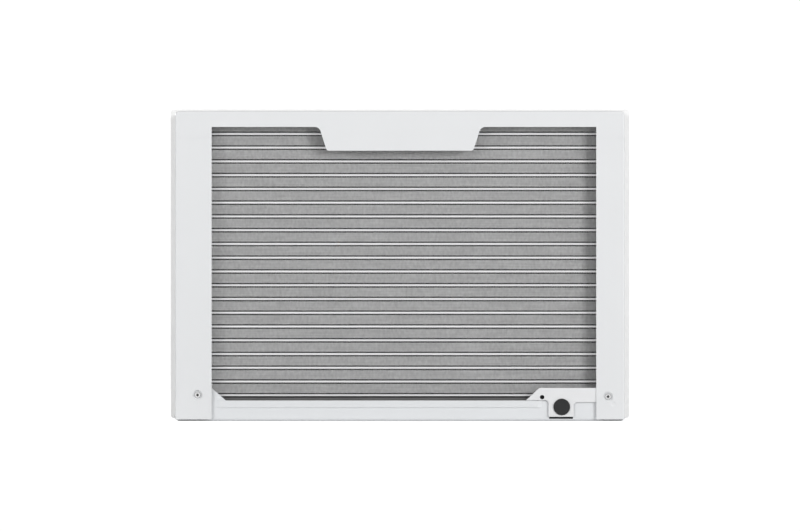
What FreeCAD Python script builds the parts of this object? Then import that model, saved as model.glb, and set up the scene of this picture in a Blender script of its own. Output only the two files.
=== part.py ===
"""Compact window air conditioner, built as an assembly of separate pieces.

Frame: +Z up, the room side faces -Y and the outdoor side +Y, and the origin is under the middle of
the unit on the surface that it stands on. All sizes are millimetres and live in one spreadsheet.
"""

import FreeCAD
import Part
import Sketcher
from FreeCAD import Placement, Rotation, Vector

import math
import os

SIZES = {
    # Whole unit
    "panel_width": 450,
    "panel_height": 303,
    "overall_depth": 400,
    "panel_overhang": 8,
    "top_overhang": 4,
    "gauge": 0.8,
    "fit_gap": 0.3,
    "seat_gap": 0.02,
    # Cabinet wrap, a folded steel sheet over the top and both sides
    "cabinet_foot": 1.5,
    "rear_bend": 1.6,
    "corner_bend": 4,
    "right_flange": 35.2,
    "left_flange": 27.6,
    "top_flange": 15.3,
    "tab_drop": 22.9,
    "tab_half_bottom": 70.7,
    "tab_half_top": 78,
    "tab_root_radius": 6,
    "tab_tip_radius": 3,
    "seam_drop": 25.9,
    "seam_width": 0.8,
    "seam_depth": 0.55,
    "seam_inset": 3,
    "slot_height": 4,
    "slot_pitch": 13,
    "slot_rows": 15,
    "slot_lip": 5,
    "slot_bridge": 8,
    "slot_start": 28,
    "slot_end_gap": 8,
    "slot_foot": 38,
    "flange_screw_rise": 5.2,
    "right_screw_inset": 21.6,
    "left_screw_inset": 16.2,
    "left_screw_drop": 1.6,
    "dimple_radius": 4.7,
    "dimple_floor_radius": 4.4,
    "dimple_depth": 1.6,
    "stop_radius": 2.6,
    "stop_floor_radius": 1.2,
    "stop_depth": 0.35,
    "stop_inset": 11.2,
    "stop_height": 16.4,
    "side_hole_radius": 2,
    "side_hole_height": 80,
    "side_hole_spacing": 120,
    "side_hole_setback": 88,
    "top_hole_spacing": 300,
    "top_hole_setback": 138,
    # Base pan
    "pan_height": 19.8,
    "pan_setback": 3,
    "pan_corner_bend": 4.5,
    "pan_bottom_bend": 3,
    "hem_thickness": 0.9,
    "hem_height": 6.8,
    "hem_ramp": 4,
    "hem_inset": 3.8,
    "hem_under_plate": 15.4,
    "platform_rise": 5,
    "platform_margin": 8,
    "platform_reach": 44,
    "platform_front_gap": 9,
    "platform_back_reach": 64,
    "rib_side_gap": 24,
    "rib_end_gap": 14,
    "rib_start": 30,
    "rib_pitch": 41.6,
    "rib_count": 3,
    "rib_width": 4,
    "rib_height": 2,
    "corner_rise": 12,
    "corner_run": 13.6,
    "corner_inner_reach": 14,
    "bracket_inset": 1.5,
    "bracket_end_gap": 4.5,
    "boss_radius": 3.5,
    # Drain plate and its plug
    "drain_side": 60.9,
    "drain_drop": 6.3,
    "plate_thickness": 1.6,
    "plate_stand_off": 0.1,
    "plate_proud": 0.4,
    "plate_rise": 12.1,
    "plate_lap": 0.1,
    "plate_ledge_drop": 2,
    "plate_foot": 3.9,
    "plate_length": 67.8,
    "plate_tuck": 1.4,
    "plate_bevel": 12.9,
    "plate_tab_half": 12.25,
    "plate_tab_shift": 0.65,
    "plate_root_radius": 3,
    "plate_foot_radius": 1.6,
    "plate_edge_radius": 0.5,
    "plate_screw_inset": 15.6,
    "plate_screw_rise": 3.1,
    "weep_height": 1.8,
    "plug_radius": 8,
    "plug_rim": 1.3,
    "plug_shank_radius": 5.5,
    "plug_shank_length": 9,
    # Screws
    "screw_head_radius": 3.1,
    "screw_head_height": 1.6,
    "screw_head_taper": 0.62,
    "recess_reach": 1.4,
    "recess_half_width": 0.5,
    "recess_radius": 1.15,
    "recess_depth": 1.5,
    "screw_shank_radius": 1.9,
    "screw_clearance": 0.2,
    "screw_length": 6,
    # Condenser core
    "core_setback": 12,
    "core_depth": 20,
    "core_bottom": 23.6,
    "core_top_gap": 7.6,
    "tube_count": 21,
    "flat_tube": 2,
    "fin_inset": 1,
    "header_radius": 9.5,
    "header_wall": 1.5,
    "header_reach": 5,
    "header_gap": 3.2,
    "rail_thickness": 2.6,
    "rail_gap": 1.1,
    # Condenser fan, its shroud and the motor
    "fan_side": 180,
    "fan_height": 130,
    "fan_radius": 106,
    "fan_width": 26,
    "fan_blades": 5,
    "fan_hub_radius": 22,
    "blade_stock": 1,
    "blade_root_sink": 3,
    "blade_root_half": 11,
    "blade_root_rise": 0.42,
    "blade_middle_half": 31,
    "blade_middle_rise": 0.36,
    "blade_tip_reach": 0.8,
    "blade_tip_half": 36,
    "blade_tip_rise": 0.3,
    "slinger_thickness": 3,
    "slinger_width": 12,
    "orifice_gap": 6,
    "orifice_collar": 12,
    "shroud_depth": 38,
    "shroud_wall": 1.2,
    "shroud_corner": 6,
    "fan_overlap": 14,
    "motor_radius": 42,
    "motor_length": 60,
    "motor_gap": 16,
    "motor_nose": 8,
    "motor_tail": 6,
    "stand_half_foot": 56,
    "stand_half_top": 34,
    "stand_flange": 16,
    "window_half_foot": 38,
    "window_half_top": 30,
    "window_rise": 14,
    "window_top_gap": 8,
    "motor_boss_radius": 12,
    "shaft_radius": 4,
    "shaft_in_wheel": 24,
    "shaft_past_fan": 6,
    "shaft_clearance": 0.05,
    # Blower wheel and scroll
    "wheel_radius": 85,
    "wheel_width": 56,
    "wheel_blades": 32,
    "wheel_chord": 17,
    "wheel_sheet": 1.6,
    "scroll_clearance": 6,
    "scroll_gap": 7,
    "scroll_growth": 7,
    "scroll_depth": 84,
    "scroll_wall": 11,
    "plenum_wall": 6,
    "orifice_plate": 3,
    # Evaporator, behind the filter
    "evaporator_gap": 6,
    "evaporator_depth": 24,
    "evaporator_bottom": 24,
    "evaporator_below_outlet": 26,
    "evaporator_passes": 8,
    "evaporator_left_inset": 16,
    "evaporator_right_inset": 8,
    "row_inset": 6,
    "row_ends": 17,
    "suction_reach": 27,
    "suction_rise": 10,
    "tray_left_reach": 8,
    "tray_right_reach": 6,
    "tray_wall": 1.5,
    "round_tube_radius": 3.5,
    "bulkhead_behind_scroll": 1,
    # Compressor
    "compressor_radius": 52,
    "compressor_height": 196,
    "compressor_side": 82,
    "compressor_back": 75,
    "compressor_wall": 22,
    "foot_reach": 62,
    "foot_thickness": 3,
    "grommet_radius": 9,
    "grommet_height": 10,
    "nut_radius": 6,
    "accumulator_radius": 19,
    "dome_share": 0.24,
    "accumulator_setback": 14,
    "accumulator_rise": 45,
    "pipe_bend": 9,
    "discharge_rise": 24,
    "pipe_run_gap": 12,
    "suction_loop_rise": 26,
    "entry_drop": 18,
    "drier_gap": 34,
    "drier_length": 62,
    "drier_neck": 8,
    "capillary_turn": 34,
    "capillary_side": 22,
    "accumulator_height": 105,
    "drier_radius": 8,
    "discharge_radius": 4,
    "suction_radius": 5,
    "liquid_radius": 3,
    "capillary_radius": 1.2,
    # Front panel
    "panel_depth": 52,
    "panel_wall": 2.4,
    "panel_corner": 2.9,
    "panel_edge": 2.6,
    "left_margin": 20,
    "column_width": 120,
    "outlet_height": 56,
    "outlet_top_margin": 15,
    "duct_wall": 2,
    "intake_bottom": 20,
    "intake_gap": 14,
    "knob_stand_out": 14,
    "control_margin": 11,
    # Intake grille and filter
    "grille_recess": 1,
    "grille_frame": 4,
    "grille_depth": 11,
    "slat_count": 20,
    "slat_thickness": 1.8,
    "slat_rise": 5,
    "filter_setback": 28,
    "filter_thickness": 4,
    "filter_border": 5,
    "mesh_thickness": 0.6,
    "filter_cells": 5,
    # Air deflectors
    "blade_chord": 16,
    "blade_thickness": 2.4,
    "blade_pivot_depth": 12.5,
    "blade_crank": 6.5,
    "blade_end_gap": 9,
    "vane_count": 6,
    "vane_front": 11,
    "vane_back": 10,
    "vane_thickness": 1.8,
    "vane_foot_gap": 8,
    "vane_top_gap": 3,
    "vane_pivot_depth": 38,
    "vane_crank": 8,
    "pivot_radius": 2,
    "pivot_clearance": 0.15,
    "link_pin_radius": 1.3,
    "link_thickness": 2,
    "link_half_width": 2.4,
    # Controls
    "knob_radius": 22,
    "fascia_inset": 0.8,
    "knob_skirt": 3,
    "grip_half_width": 3.6,
    "grip_inset": 5,
    "knob_edge": 1.2,
    "knob_shaft_radius": 3,
    "mode_height": 205,
    "temperature_height": 105,
    "switch_size": 32,
    "thermostat_length": 56,
    "sensor_inset": 8,
    "sensor_setback": 14,
    "box_depth": 72,
    "box_bottom": 62,
    "box_side_gap": 4,
    "capacitor_radius": 19,
    "capacitor_height": 56,
    "bushing_radius": 9,
    "bushing_bore": 4.5,
    "bushing_height": 42,
    "bushing_setback": 16,
}

doc = FreeCAD.newDocument("window_air_conditioner")
sheet = doc.addObject("Spreadsheet::Sheet", "Sizes")
for number, (alias, value) in enumerate(SIZES.items(), 1):
    sheet.set(f"A{number}", alias)
    sheet.set(f"B{number}", str(value))
    sheet.setAlias(f"B{number}", alias)
doc.recompute()


class Size:
    """A length kept as a spreadsheet expression, so that arithmetic on it stays bound to the sheet."""

    def __init__(self, text):
        self.text = text

    def join(self, sign, other, swapped=False):
        pair = (text_of(other), self.text) if swapped else (self.text, text_of(other))
        return Size(f"({pair[0]} {sign} {pair[1]})")

    def __add__(self, other):
        return self.join("+", other)

    def __radd__(self, other):
        return self.join("+", other, swapped=True)

    def __sub__(self, other):
        return self.join("-", other)

    def __rsub__(self, other):
        return self.join("-", other, swapped=True)

    def __mul__(self, other):
        return self.join("*", other)

    __rmul__ = __mul__

    def __truediv__(self, other):
        return self.join("/", other)

    def __neg__(self):
        return Size(f"(0 - {self.text})")

    def __float__(self):
        return float(sheet.evalExpression(self.text))


def text_of(value):
    return value.text if isinstance(value, Size) else repr(float(value))


class Sheet:
    """The spreadsheet's cells by name, as d.panel_width."""

    def __getattr__(self, alias):
        return Size(f"Sizes.{alias}")


d = Sheet()

# Places along X, Y and Z that several pieces share
HALF_PANEL = d.panel_width / 2
HALF_CABINET = HALF_PANEL - d.panel_overhang
HALF_INSIDE = HALF_CABINET - d.gauge
CABINET_TOP = d.panel_height - d.top_overhang
INSIDE_TOP = CABINET_TOP - d.gauge
REAR = d.overall_depth / 2
FACE = d.knob_stand_out - REAR
PANEL_BACK = FACE + d.panel_depth
CABINET_FRONT = PANEL_BACK + d.fit_gap

HALF_PAN = HALF_INSIDE - d.fit_gap / 2
PAN_BACK = REAR - d.pan_setback
PAN_FLOOR = d.gauge
SCREW_HEIGHT = d.pan_height + d.flange_screw_rise
DRAIN_HEIGHT = d.pan_height - d.drain_drop
PLATE_LEDGE = d.pan_height + d.plate_lap
PLATE_TOP = d.pan_height + d.plate_rise
PLATE_SCREW_HEIGHT = d.pan_height + d.plate_screw_rise

OPENING_LEFT = d.left_flange - HALF_CABINET
OPENING_RIGHT = HALF_CABINET - d.right_flange
OPENING_TOP = CABINET_TOP - d.top_flange

CORE_BACK = REAR - d.core_setback
CORE_FRONT = CORE_BACK - d.core_depth
CORE_MIDDLE = CORE_BACK - d.core_depth / 2
CORE_TOP = CABINET_TOP - d.core_top_gap
TUBE_PITCH = (CORE_TOP - d.core_bottom - d.flat_tube) / (d.tube_count - 1)
HEADER_X = HALF_INSIDE - d.header_gap - d.header_radius
FIN_HALF = HEADER_X - d.header_radius - 2 * d.flat_tube

AXIS_X = d.fan_side - HALF_PANEL
AXIS_Z = d.fan_height
SHROUD_FRONT = CORE_FRONT - d.shroud_depth
FAN_FRONT = SHROUD_FRONT - d.fan_overlap
FAN_BACK = FAN_FRONT + d.fan_width

OUTLET_LEFT = d.left_margin - HALF_PANEL
OUTLET_RIGHT = HALF_PANEL - d.column_width
OUTLET_TOP = d.panel_height - d.outlet_top_margin
OUTLET_BOTTOM = OUTLET_TOP - d.outlet_height
OUTLET_MIDDLE = (OUTLET_TOP + OUTLET_BOTTOM) / 2
INTAKE_TOP = OUTLET_BOTTOM - d.intake_gap

EVAPORATOR_FRONT = PANEL_BACK + d.evaporator_gap
EVAPORATOR_BACK = EVAPORATOR_FRONT + d.evaporator_depth
EVAPORATOR_TOP = OUTLET_BOTTOM - d.evaporator_below_outlet
SCROLL_FRONT = EVAPORATOR_BACK + d.scroll_gap
SCROLL_BACK = SCROLL_FRONT + d.scroll_depth
BULKHEAD = SCROLL_BACK + d.bulkhead_behind_scroll
WHEEL_FRONT = SCROLL_FRONT + d.scroll_clearance
WHEEL_BACK = WHEEL_FRONT + d.wheel_width
MOTOR_FRONT = BULKHEAD + d.gauge + d.motor_gap
MOTOR_BACK = MOTOR_FRONT + d.motor_length

COMPRESSOR_X = HALF_CABINET - d.compressor_side
COMPRESSOR_Y = BULKHEAD + d.compressor_back
CONTROL_X = HALF_PANEL - d.column_width / 2

PLANES = {"front": ("XZ_Plane", -1), "top": ("XY_Plane", 1), "side": ("YZ_Plane", 1)}
AXES = {"x": Vector(1, 0, 0), "y": Vector(0, 1, 0), "z": Vector(0, 0, 1)}
TOUCH = 1e-4
pieces = {}


def bind(thing, path, value):
    """Sets a property, through an expression where the value comes from the sheet."""
    if isinstance(value, Size):
        thing.setExpression(path, value.text)
    else:
        thing.setExpression(path, repr(float(value)))


def at(x, y, z):
    return Vector(float(x), float(y), float(z))


def keep(label, thing):
    """Names a finished sub-part, which is written to parts/ under that name."""
    thing.Label = label
    pieces[label] = thing
    return thing


# Tests that pick edges of a shape for a fillet


def runs_along(edge, axis):
    if edge.Curve.TypeId != "Part::GeomLine":
        return False
    return abs(edge.tangentAt(edge.FirstParameter).dot(AXES[axis])) > 0.999


def spot(edge, axes):
    """The middle of an edge, in the named coordinates."""
    middle = edge.BoundBox.Center
    return tuple(getattr(middle, axis) for axis in axes)


def at_corners(axis, corners):
    """Straight edges along axis through any of the points, each given in the other two coordinates."""
    others = [name for name in "xyz" if name != axis]
    points = [tuple(float(c) for c in corner) for corner in corners]

    def test(edge):
        if not runs_along(edge, axis):
            return False
        here = spot(edge, others)
        return any(math.dist(here, point) < 0.01 for point in points)

    return test


def in_plane(axis, value):
    """Edges that lie wholly in the plane where the axis has that value."""
    level = float(value)

    def test(edge):
        box = edge.BoundBox
        low, high = getattr(box, axis.upper() + "Min"), getattr(box, axis.upper() + "Max")
        return abs(low - level) < 0.01 and abs(high - level) < 0.01

    return test


class Piece:
    """A PartDesign body whose sketches and features take their numbers from the sheet."""

    def __init__(self, label):
        self.label = label
        self.body = doc.addObject("PartDesign::Body", label)
        self.last = None

    def origin(self, role):
        return next(f for f in self.body.Origin.OriginFeatures if f.Role == role)

    def new(self, kind):
        return self.body.newObject(kind, f"{self.label}_{kind.split('::')[1].lower()}")

    def settle(self, feature):
        """Recomputes, so that the next feature can read this one's faces and edges."""
        doc.recompute()
        if feature.Shape.isNull() or "Invalid" in feature.State:
            raise RuntimeError(f"{self.label}: {feature.Name} failed")
        self.last = feature
        return feature

    def sketch(self, plane, level, loops=(), circles=()):
        """Closed loops of (u, v) points and circles of (u, v, radius) on a plane at that level."""
        role, sign = PLANES[plane]
        drawing = self.new("Sketcher::SketchObject")
        drawing.AttachmentSupport = (self.origin(role), [""])
        drawing.MapMode = "FlatFace"
        bind(drawing, "AttachmentOffset.Base.z", level * sign)
        for loop in loops:
            first = drawing.GeometryCount
            count = len(loop)
            ends = [at(u, v, 0) for u, v in loop]
            for i in range(count):
                drawing.addGeometry(Part.LineSegment(ends[i], ends[(i + 1) % count]), False)
            for i in range(count):
                drawing.addConstraint(
                    Sketcher.Constraint("Coincident", first + i, 2, first + (i + 1) % count, 1)
                )
            for i, point in enumerate(loop):
                self.pin(drawing, first + i, 1, point)
        for u, v, radius in circles:
            circle = Part.Circle(at(u, v, 0), Vector(0, 0, 1), float(radius))
            index = drawing.addGeometry(circle, False)
            self.pin(drawing, index, 3, (u, v))
            size = drawing.addConstraint(Sketcher.Constraint("Radius", index, float(radius)))
            bind(drawing, f"Constraints[{size}]", radius)
        return drawing

    def pin(self, drawing, index, end, point):
        for kind, value in zip(("DistanceX", "DistanceY"), point):
            made = Sketcher.Constraint(kind, -1, 1, index, end, float(value))
            bind(drawing, f"Constraints[{drawing.addConstraint(made)}]", value)

    def pad(self, plane, level, length, toward, loops=(), circles=()):
        feature = self.new("PartDesign::Pad")
        feature.Profile = self.sketch(plane, level, loops, circles)
        bind(feature, "Length", length)
        feature.Reversed = toward != PLANES[plane][1]
        return self.settle(feature)

    def pocket(self, plane, level, length, toward, loops=(), circles=()):
        before = self.body.Shape.Volume
        feature = self.new("PartDesign::Pocket")
        feature.Profile = self.sketch(plane, level, loops, circles)
        bind(feature, "Length", length)
        feature.Reversed = toward != -PLANES[plane][1]
        self.settle(feature)
        if self.body.Shape.Volume > before - TOUCH:
            raise RuntimeError(f"{self.label}: {feature.Name} cuts nothing")
        return feature

    def turn(self, loop, axis_x, axis_z, groove=False):
        """Revolves a profile of (distance from the axis, y) points about a line along Y."""
        feature = self.new("PartDesign::Groove" if groove else "PartDesign::Revolution")
        drawing = self.sketch("top", axis_z, [[(axis_x + r, y) for r, y in loop]])
        line = Part.LineSegment(at(axis_x, -1, 0), at(axis_x, 1, 0))
        index = drawing.addGeometry(line, True)
        self.pin(drawing, index, 1, (axis_x, -1))
        self.pin(drawing, index, 2, (axis_x, 1))
        feature.Profile = drawing
        feature.ReferenceAxis = (drawing, ["Axis0"])
        feature.Angle = 360
        return self.settle(feature)

    def round(self, radius, test, kind="Fillet"):
        shape = self.last.Shape
        names = [f"Edge{i + 1}" for i, edge in enumerate(shape.Edges) if test(edge)]
        feature = self.new(f"PartDesign::{kind}")
        feature.Base = (self.last, names)
        bind(feature, "Radius" if kind == "Fillet" else "Size", radius)
        return self.settle(feature)

    def shell(self, wall, *open_sides):
        """Hollows the body, leaving out the faces in the planes given as (axis, value)."""
        shape = self.last.Shape
        tests = [in_plane(axis, value) for axis, value in open_sides]
        names = [
            f"Face{i + 1}"
            for i, face in enumerate(shape.Faces)
            if any(test(face) for test in tests)
        ]
        feature = self.new("PartDesign::Thickness")
        feature.Base = (self.last, names)
        feature.Reversed = True
        bind(feature, "Value", wall)
        return self.settle(feature)

    def repeat(self, features, axis, pitch, count):
        feature = self.body.newObject("PartDesign::LinearPattern", f"{self.label}_row")
        feature.Originals = list(features)
        feature.Direction = (self.origin(f"{axis.upper()}_Axis"), [""])
        bind(feature, "Length", pitch * (count - 1))
        bind(feature, "Occurrences", count)
        self.body.Tip = feature
        return self.settle(feature)

    def keep(self):
        return keep(self.label, self.body)


def rectangle(left, bottom, right, top):
    return [(left, bottom), (right, bottom), (right, top), (left, top)]


def block(name, low, high):
    """A box between two corners."""
    box = doc.addObject("Part::Box", name)
    for side, axis, a, b in zip(("Length", "Width", "Height"), "xyz", low, high):
        bind(box, side, b - a)
        bind(box, f"Placement.Base.{axis}", a)
    return box


AIM = {
    "x": Rotation(Vector(0, 1, 0), 90),
    "y": Rotation(Vector(1, 0, 0), -90),
    "z": Rotation(),
}


def rod(name, start, length, radius, axis="z"):
    """A cylinder from its start point, along +axis."""
    made = doc.addObject("Part::Cylinder", name)
    made.Placement = Placement(Vector(), AIM[axis])
    bind(made, "Radius", radius)
    bind(made, "Height", length)
    for name_of, value in zip("xyz", start):
        bind(made, f"Placement.Base.{name_of}", value)
    return made


def cone(name, start, length, radius, far_radius, axis="z"):
    made = doc.addObject("Part::Cone", name)
    made.Placement = Placement(Vector(), AIM[axis])
    bind(made, "Radius1", radius)
    bind(made, "Radius2", far_radius)
    bind(made, "Height", length)
    for name_of, value in zip("xyz", start):
        bind(made, f"Placement.Base.{name_of}", value)
    return made


def joined(name, things):
    if len(things) == 1:
        return things[0]
    made = doc.addObject("Part::MultiFuse", name)
    made.Shapes = list(things)
    made.Refine = True
    return made


def cut(name, base, *tools):
    made = doc.addObject("Part::Cut", name)
    made.Base = base
    made.Tool = joined(f"{name}_tools", tools)
    return made


def shaped(name, shape):
    """A piece that primitives can't make: its shape is worked out from the sheet's numbers."""
    made = doc.addObject("Part::Feature", name)
    made.Shape = shape
    made.Placement = Placement()
    return made


def route(points, bend):
    """A path of straight runs joined by tangent arcs of one bend radius."""
    points = [at(*point) for point in points]
    edges = []
    start = points[0]
    for i in range(1, len(points) - 1):
        before = (points[i - 1] - points[i]).normalize()
        after = (points[i + 1] - points[i]).normalize()
        turn = math.pi - before.getAngle(after)
        reach = bend * math.tan(turn / 2)
        first = points[i] + before * reach
        last = points[i] + after * reach
        inward = (before + after).normalize()
        middle = points[i] + inward * (bend / math.cos(turn / 2) - bend)
        edges.append(Part.makeLine(start, first))
        edges.append(Part.Arc(first, middle, last).toShape())
        start = last
    edges.append(Part.makeLine(start, points[-1]))
    return Part.Wire(edges)


def tube(points, radius, bend):
    """A solid round bar that follows a route."""
    path = route(points, float(bend))
    edge = path.Edges[0]
    circle = Part.makeCircle(float(radius), edge.Vertexes[0].Point, edge.tangentAt(0))
    return path.makePipeShell([Part.Wire(circle)], True, True)


# Cabinet


def cabinet_wrap():
    """Top and sides, folded from one sheet, with a flange turned in round the rear opening."""
    wrap = Piece("wrap_sheet")
    depth = REAR - CABINET_FRONT
    outline = rectangle(-HALF_CABINET, d.cabinet_foot, HALF_CABINET, CABINET_TOP)
    wrap.pad("front", CABINET_FRONT, depth, 1, [outline])
    top_corners = [(-HALF_CABINET, CABINET_TOP), (HALF_CABINET, CABINET_TOP)]
    wrap.round(d.corner_bend, at_corners("y", top_corners))
    rear_edge = in_plane("y", REAR)
    foot = float(d.cabinet_foot)
    wrap.round(d.rear_bend, lambda e: rear_edge(e) and e.BoundBox.ZMax > foot + 1)
    wrap.shell(d.gauge, ("y", CABINET_FRONT), ("z", d.cabinet_foot))

    tab_end = OPENING_TOP - d.tab_drop
    below = d.cabinet_foot - 1
    opening = [
        (OPENING_LEFT, below),
        (OPENING_RIGHT, below),
        (OPENING_RIGHT, OPENING_TOP),
        (d.tab_half_top, OPENING_TOP),
        (d.tab_half_bottom, tab_end),
        (-d.tab_half_bottom, tab_end),
        (-d.tab_half_top, OPENING_TOP),
        (OPENING_LEFT, OPENING_TOP),
    ]
    wrap.pocket("front", REAR, 2 * d.gauge, -1, [opening])
    roots = [(-d.tab_half_top, OPENING_TOP), (d.tab_half_top, OPENING_TOP)]
    tips = [(-d.tab_half_bottom, tab_end), (d.tab_half_bottom, tab_end)]
    wrap.round(d.tab_root_radius, at_corners("y", roots))
    wrap.round(d.tab_tip_radius, at_corners("y", tips))

    # The line where the top flange laps the side flanges
    seam_top = CABINET_TOP - d.seam_drop
    seam_bottom = seam_top - d.seam_width
    outer = HALF_CABINET - d.rear_bend
    seams = [
        rectangle(OPENING_RIGHT + d.seam_inset, seam_bottom, outer, seam_top),
        rectangle(-outer, seam_bottom, OPENING_LEFT - d.seam_inset, seam_top),
    ]
    wrap.pocket("front", REAR, d.seam_depth, -1, seams)

    # Air slots in both sides and the top of the outdoor half, each with a lip pressed inwards
    first_start = BULKHEAD + d.slot_start
    slot_length = (SHROUD_FRONT - d.slot_end_gap - first_start - d.slot_bridge) / 2
    second_start = first_start + slot_length + d.slot_bridge
    low = d.pan_height + d.slot_foot
    columns = [
        rectangle(start, low, start + slot_length, low + d.slot_height)
        for start in (first_start, second_start)
    ]
    slots = wrap.pocket("side", HALF_CABINET + 1, 2 * HALF_CABINET + 2, -1, columns)
    wrap.repeat([slots], "z", d.slot_pitch, d.slot_rows)
    lips = []
    for start in (first_start, second_start):
        sides = []
        for sign in (-1, 1):
            wall = HALF_INSIDE + d.gauge / 2
            tip = HALF_INSIDE - d.slot_lip
            sides.append(
                [
                    (sign * wall, low),
                    (sign * wall, low - d.gauge),
                    (sign * tip, low + d.slot_lip - d.gauge),
                    (sign * tip, low + d.slot_lip),
                ]
            )
        lips.append(wrap.pad("front", start, slot_length, 1, sides))
    wrap.repeat(lips, "z", d.slot_pitch, d.slot_rows)

    top_start = 2 * d.slot_pitch - HALF_CABINET
    top_rows = [
        rectangle(top_start, start, top_start + d.slot_height, start + slot_length)
        for start in (first_start, second_start)
    ]
    top_slots = wrap.pocket("top", CABINET_TOP + 1, 2 + d.gauge, -1, top_rows)
    span = HALF_CABINET - AXIS_X
    wrap.repeat([top_slots], "x", span / d.slot_rows, d.slot_rows)

    side_y = CABINET_FRONT + d.side_hole_setback
    side_holes = [
        (side_y, d.side_hole_height + k * d.side_hole_spacing, d.side_hole_radius)
        for k in (0, 1)
    ]
    wrap.pocket("side", HALF_CABINET + 1, 2 * HALF_CABINET + 2, -1, circles=side_holes)
    top_y = CABINET_FRONT + d.top_hole_setback
    half_top = d.top_hole_spacing / 2
    top_holes = [(sign * half_top, top_y, d.side_hole_radius) for sign in (-1, 1)]
    wrap.pocket("top", CABINET_TOP + 1, 2 + d.gauge, -1, circles=top_holes)

    # A dished seat for each screw that holds a side flange to the base, and one small stop beside
    seats = [(x, z, d.dimple_depth) for x, z in FLANGE_SCREWS]
    radii = [(d.dimple_floor_radius, d.dimple_radius)] * 2
    seats.append((d.stop_inset - HALF_CABINET, d.stop_height, d.stop_depth))
    radii.append((d.stop_floor_radius, d.stop_radius))
    dishes, hollows = [], []
    for number, ((x, z, depth), (floor, mouth)) in enumerate(zip(seats, radii)):
        bottom = (x, REAR - depth - d.gauge, z)
        length = depth + d.gauge / 2
        dish = cone(f"dish_{number}", bottom, length, floor + d.gauge, mouth + d.gauge, "y")
        dishes.append(dish)
        hollows.append(cone(f"hollow_{number}", (x, REAR - depth, z), depth, floor, mouth, "y"))
    for number, (x, z) in enumerate(FLANGE_SCREWS):
        start = (x, REAR - d.dimple_depth - d.gauge, z)
        hole_radius = d.screw_shank_radius + d.screw_clearance
        hollows.append(rod(f"hole_{number}", start, 2 * d.gauge, hole_radius, "y"))
    dished = joined("dished_wrap", [wrap.body, *dishes])
    keep("cabinet_wrap", cut("cabinet_wrap", dished, *hollows))


FLANGE_SCREWS = (
    (HALF_CABINET - d.right_screw_inset, SCREW_HEIGHT),
    (d.left_screw_inset - HALF_CABINET, SCREW_HEIGHT - d.left_screw_drop),
)


def base_pan():
    """Folded tray that carries the whole unit, with a hemmed rear wall and a raised compressor seat."""
    pan = Piece("base_pan")
    length = PAN_BACK - CABINET_FRONT
    tray = rectangle(-HALF_PAN, 0, HALF_PAN, d.pan_height)
    pan.pad("front", CABINET_FRONT, length, 1, [tray])
    corners = [(x, y) for x in (-HALF_PAN, HALF_PAN) for y in (CABINET_FRONT, PAN_BACK)]
    pan.round(d.pan_corner_bend, at_corners("z", corners))
    pan.round(d.pan_bottom_bend, in_plane("z", 0))
    pan.shell(d.gauge, ("z", d.pan_height))

    # The rear wall's top is folded over outwards, and the fold runs out at both ends
    hem_back = PAN_BACK + d.hem_thickness
    hem_left, hem_right = PLATE_RIGHT - d.hem_under_plate, OPENING_RIGHT - d.hem_inset
    root = PAN_BACK - d.gauge / 2
    fold = [
        (hem_left, root),
        (hem_left, PAN_BACK),
        (hem_left + d.hem_ramp, hem_back),
        (hem_right - d.hem_ramp, hem_back),
        (hem_right, PAN_BACK),
        (hem_right, root),
    ]
    pan.pad("top", d.pan_height - d.hem_height, d.hem_height, 1, [fold])
    outer = in_plane("y", hem_back)
    top = in_plane("z", d.pan_height)
    pan.round(d.hem_thickness * 0.8, lambda e: outer(e) and top(e))

    # The compressor's seat is pressed up from below
    left, right = COMPRESSOR_X - d.platform_reach, HALF_PAN - d.platform_margin
    front, back = BULKHEAD + d.platform_front_gap, COMPRESSOR_Y + d.platform_back_reach
    seat = rectangle(left, front, right, back)
    hollow = rectangle(left + d.gauge, front + d.gauge, right - d.gauge, back - d.gauge)
    pan.pad("top", 0, d.platform_rise, 1, [seat])
    pan.pocket("top", 0, d.platform_rise - d.gauge, 1, [hollow])
    # Ribs stiffen the open floor on the fan's side
    rib_front = BULKHEAD + d.rib_start
    rib_left = d.rib_side_gap - HALF_PAN
    rib = rectangle(rib_left, rib_front, left - d.rib_end_gap, rib_front + d.rib_width)
    ribs = pan.pad("top", d.gauge / 2, d.gauge / 2 + d.rib_height, 1, [rib])
    pan.repeat([ribs], "y", d.rib_pitch, d.rib_count)
    # The plug's hole, and a weep slot along the foot of the drain plate's tab
    drain = [(DRAIN_X, DRAIN_HEIGHT, d.plug_shank_radius + d.fit_gap)]
    half = d.plate_tab_half - d.weep_height / 2
    slot = rectangle(
        TAB_X - half, d.plate_foot - d.weep_height, TAB_X + half, d.plate_foot + d.fit_gap
    )
    pan.pocket("front", PAN_BACK + 2 * d.gauge, 4 * d.gauge, -1, [slot], drain)
    pan.keep()


DRAIN_X = d.drain_side - HALF_CABINET
PLATE_LEFT = OPENING_LEFT - d.plate_tuck
PLATE_RIGHT = OPENING_LEFT + d.plate_length
TAB_X = DRAIN_X + d.plate_tab_shift


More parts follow.
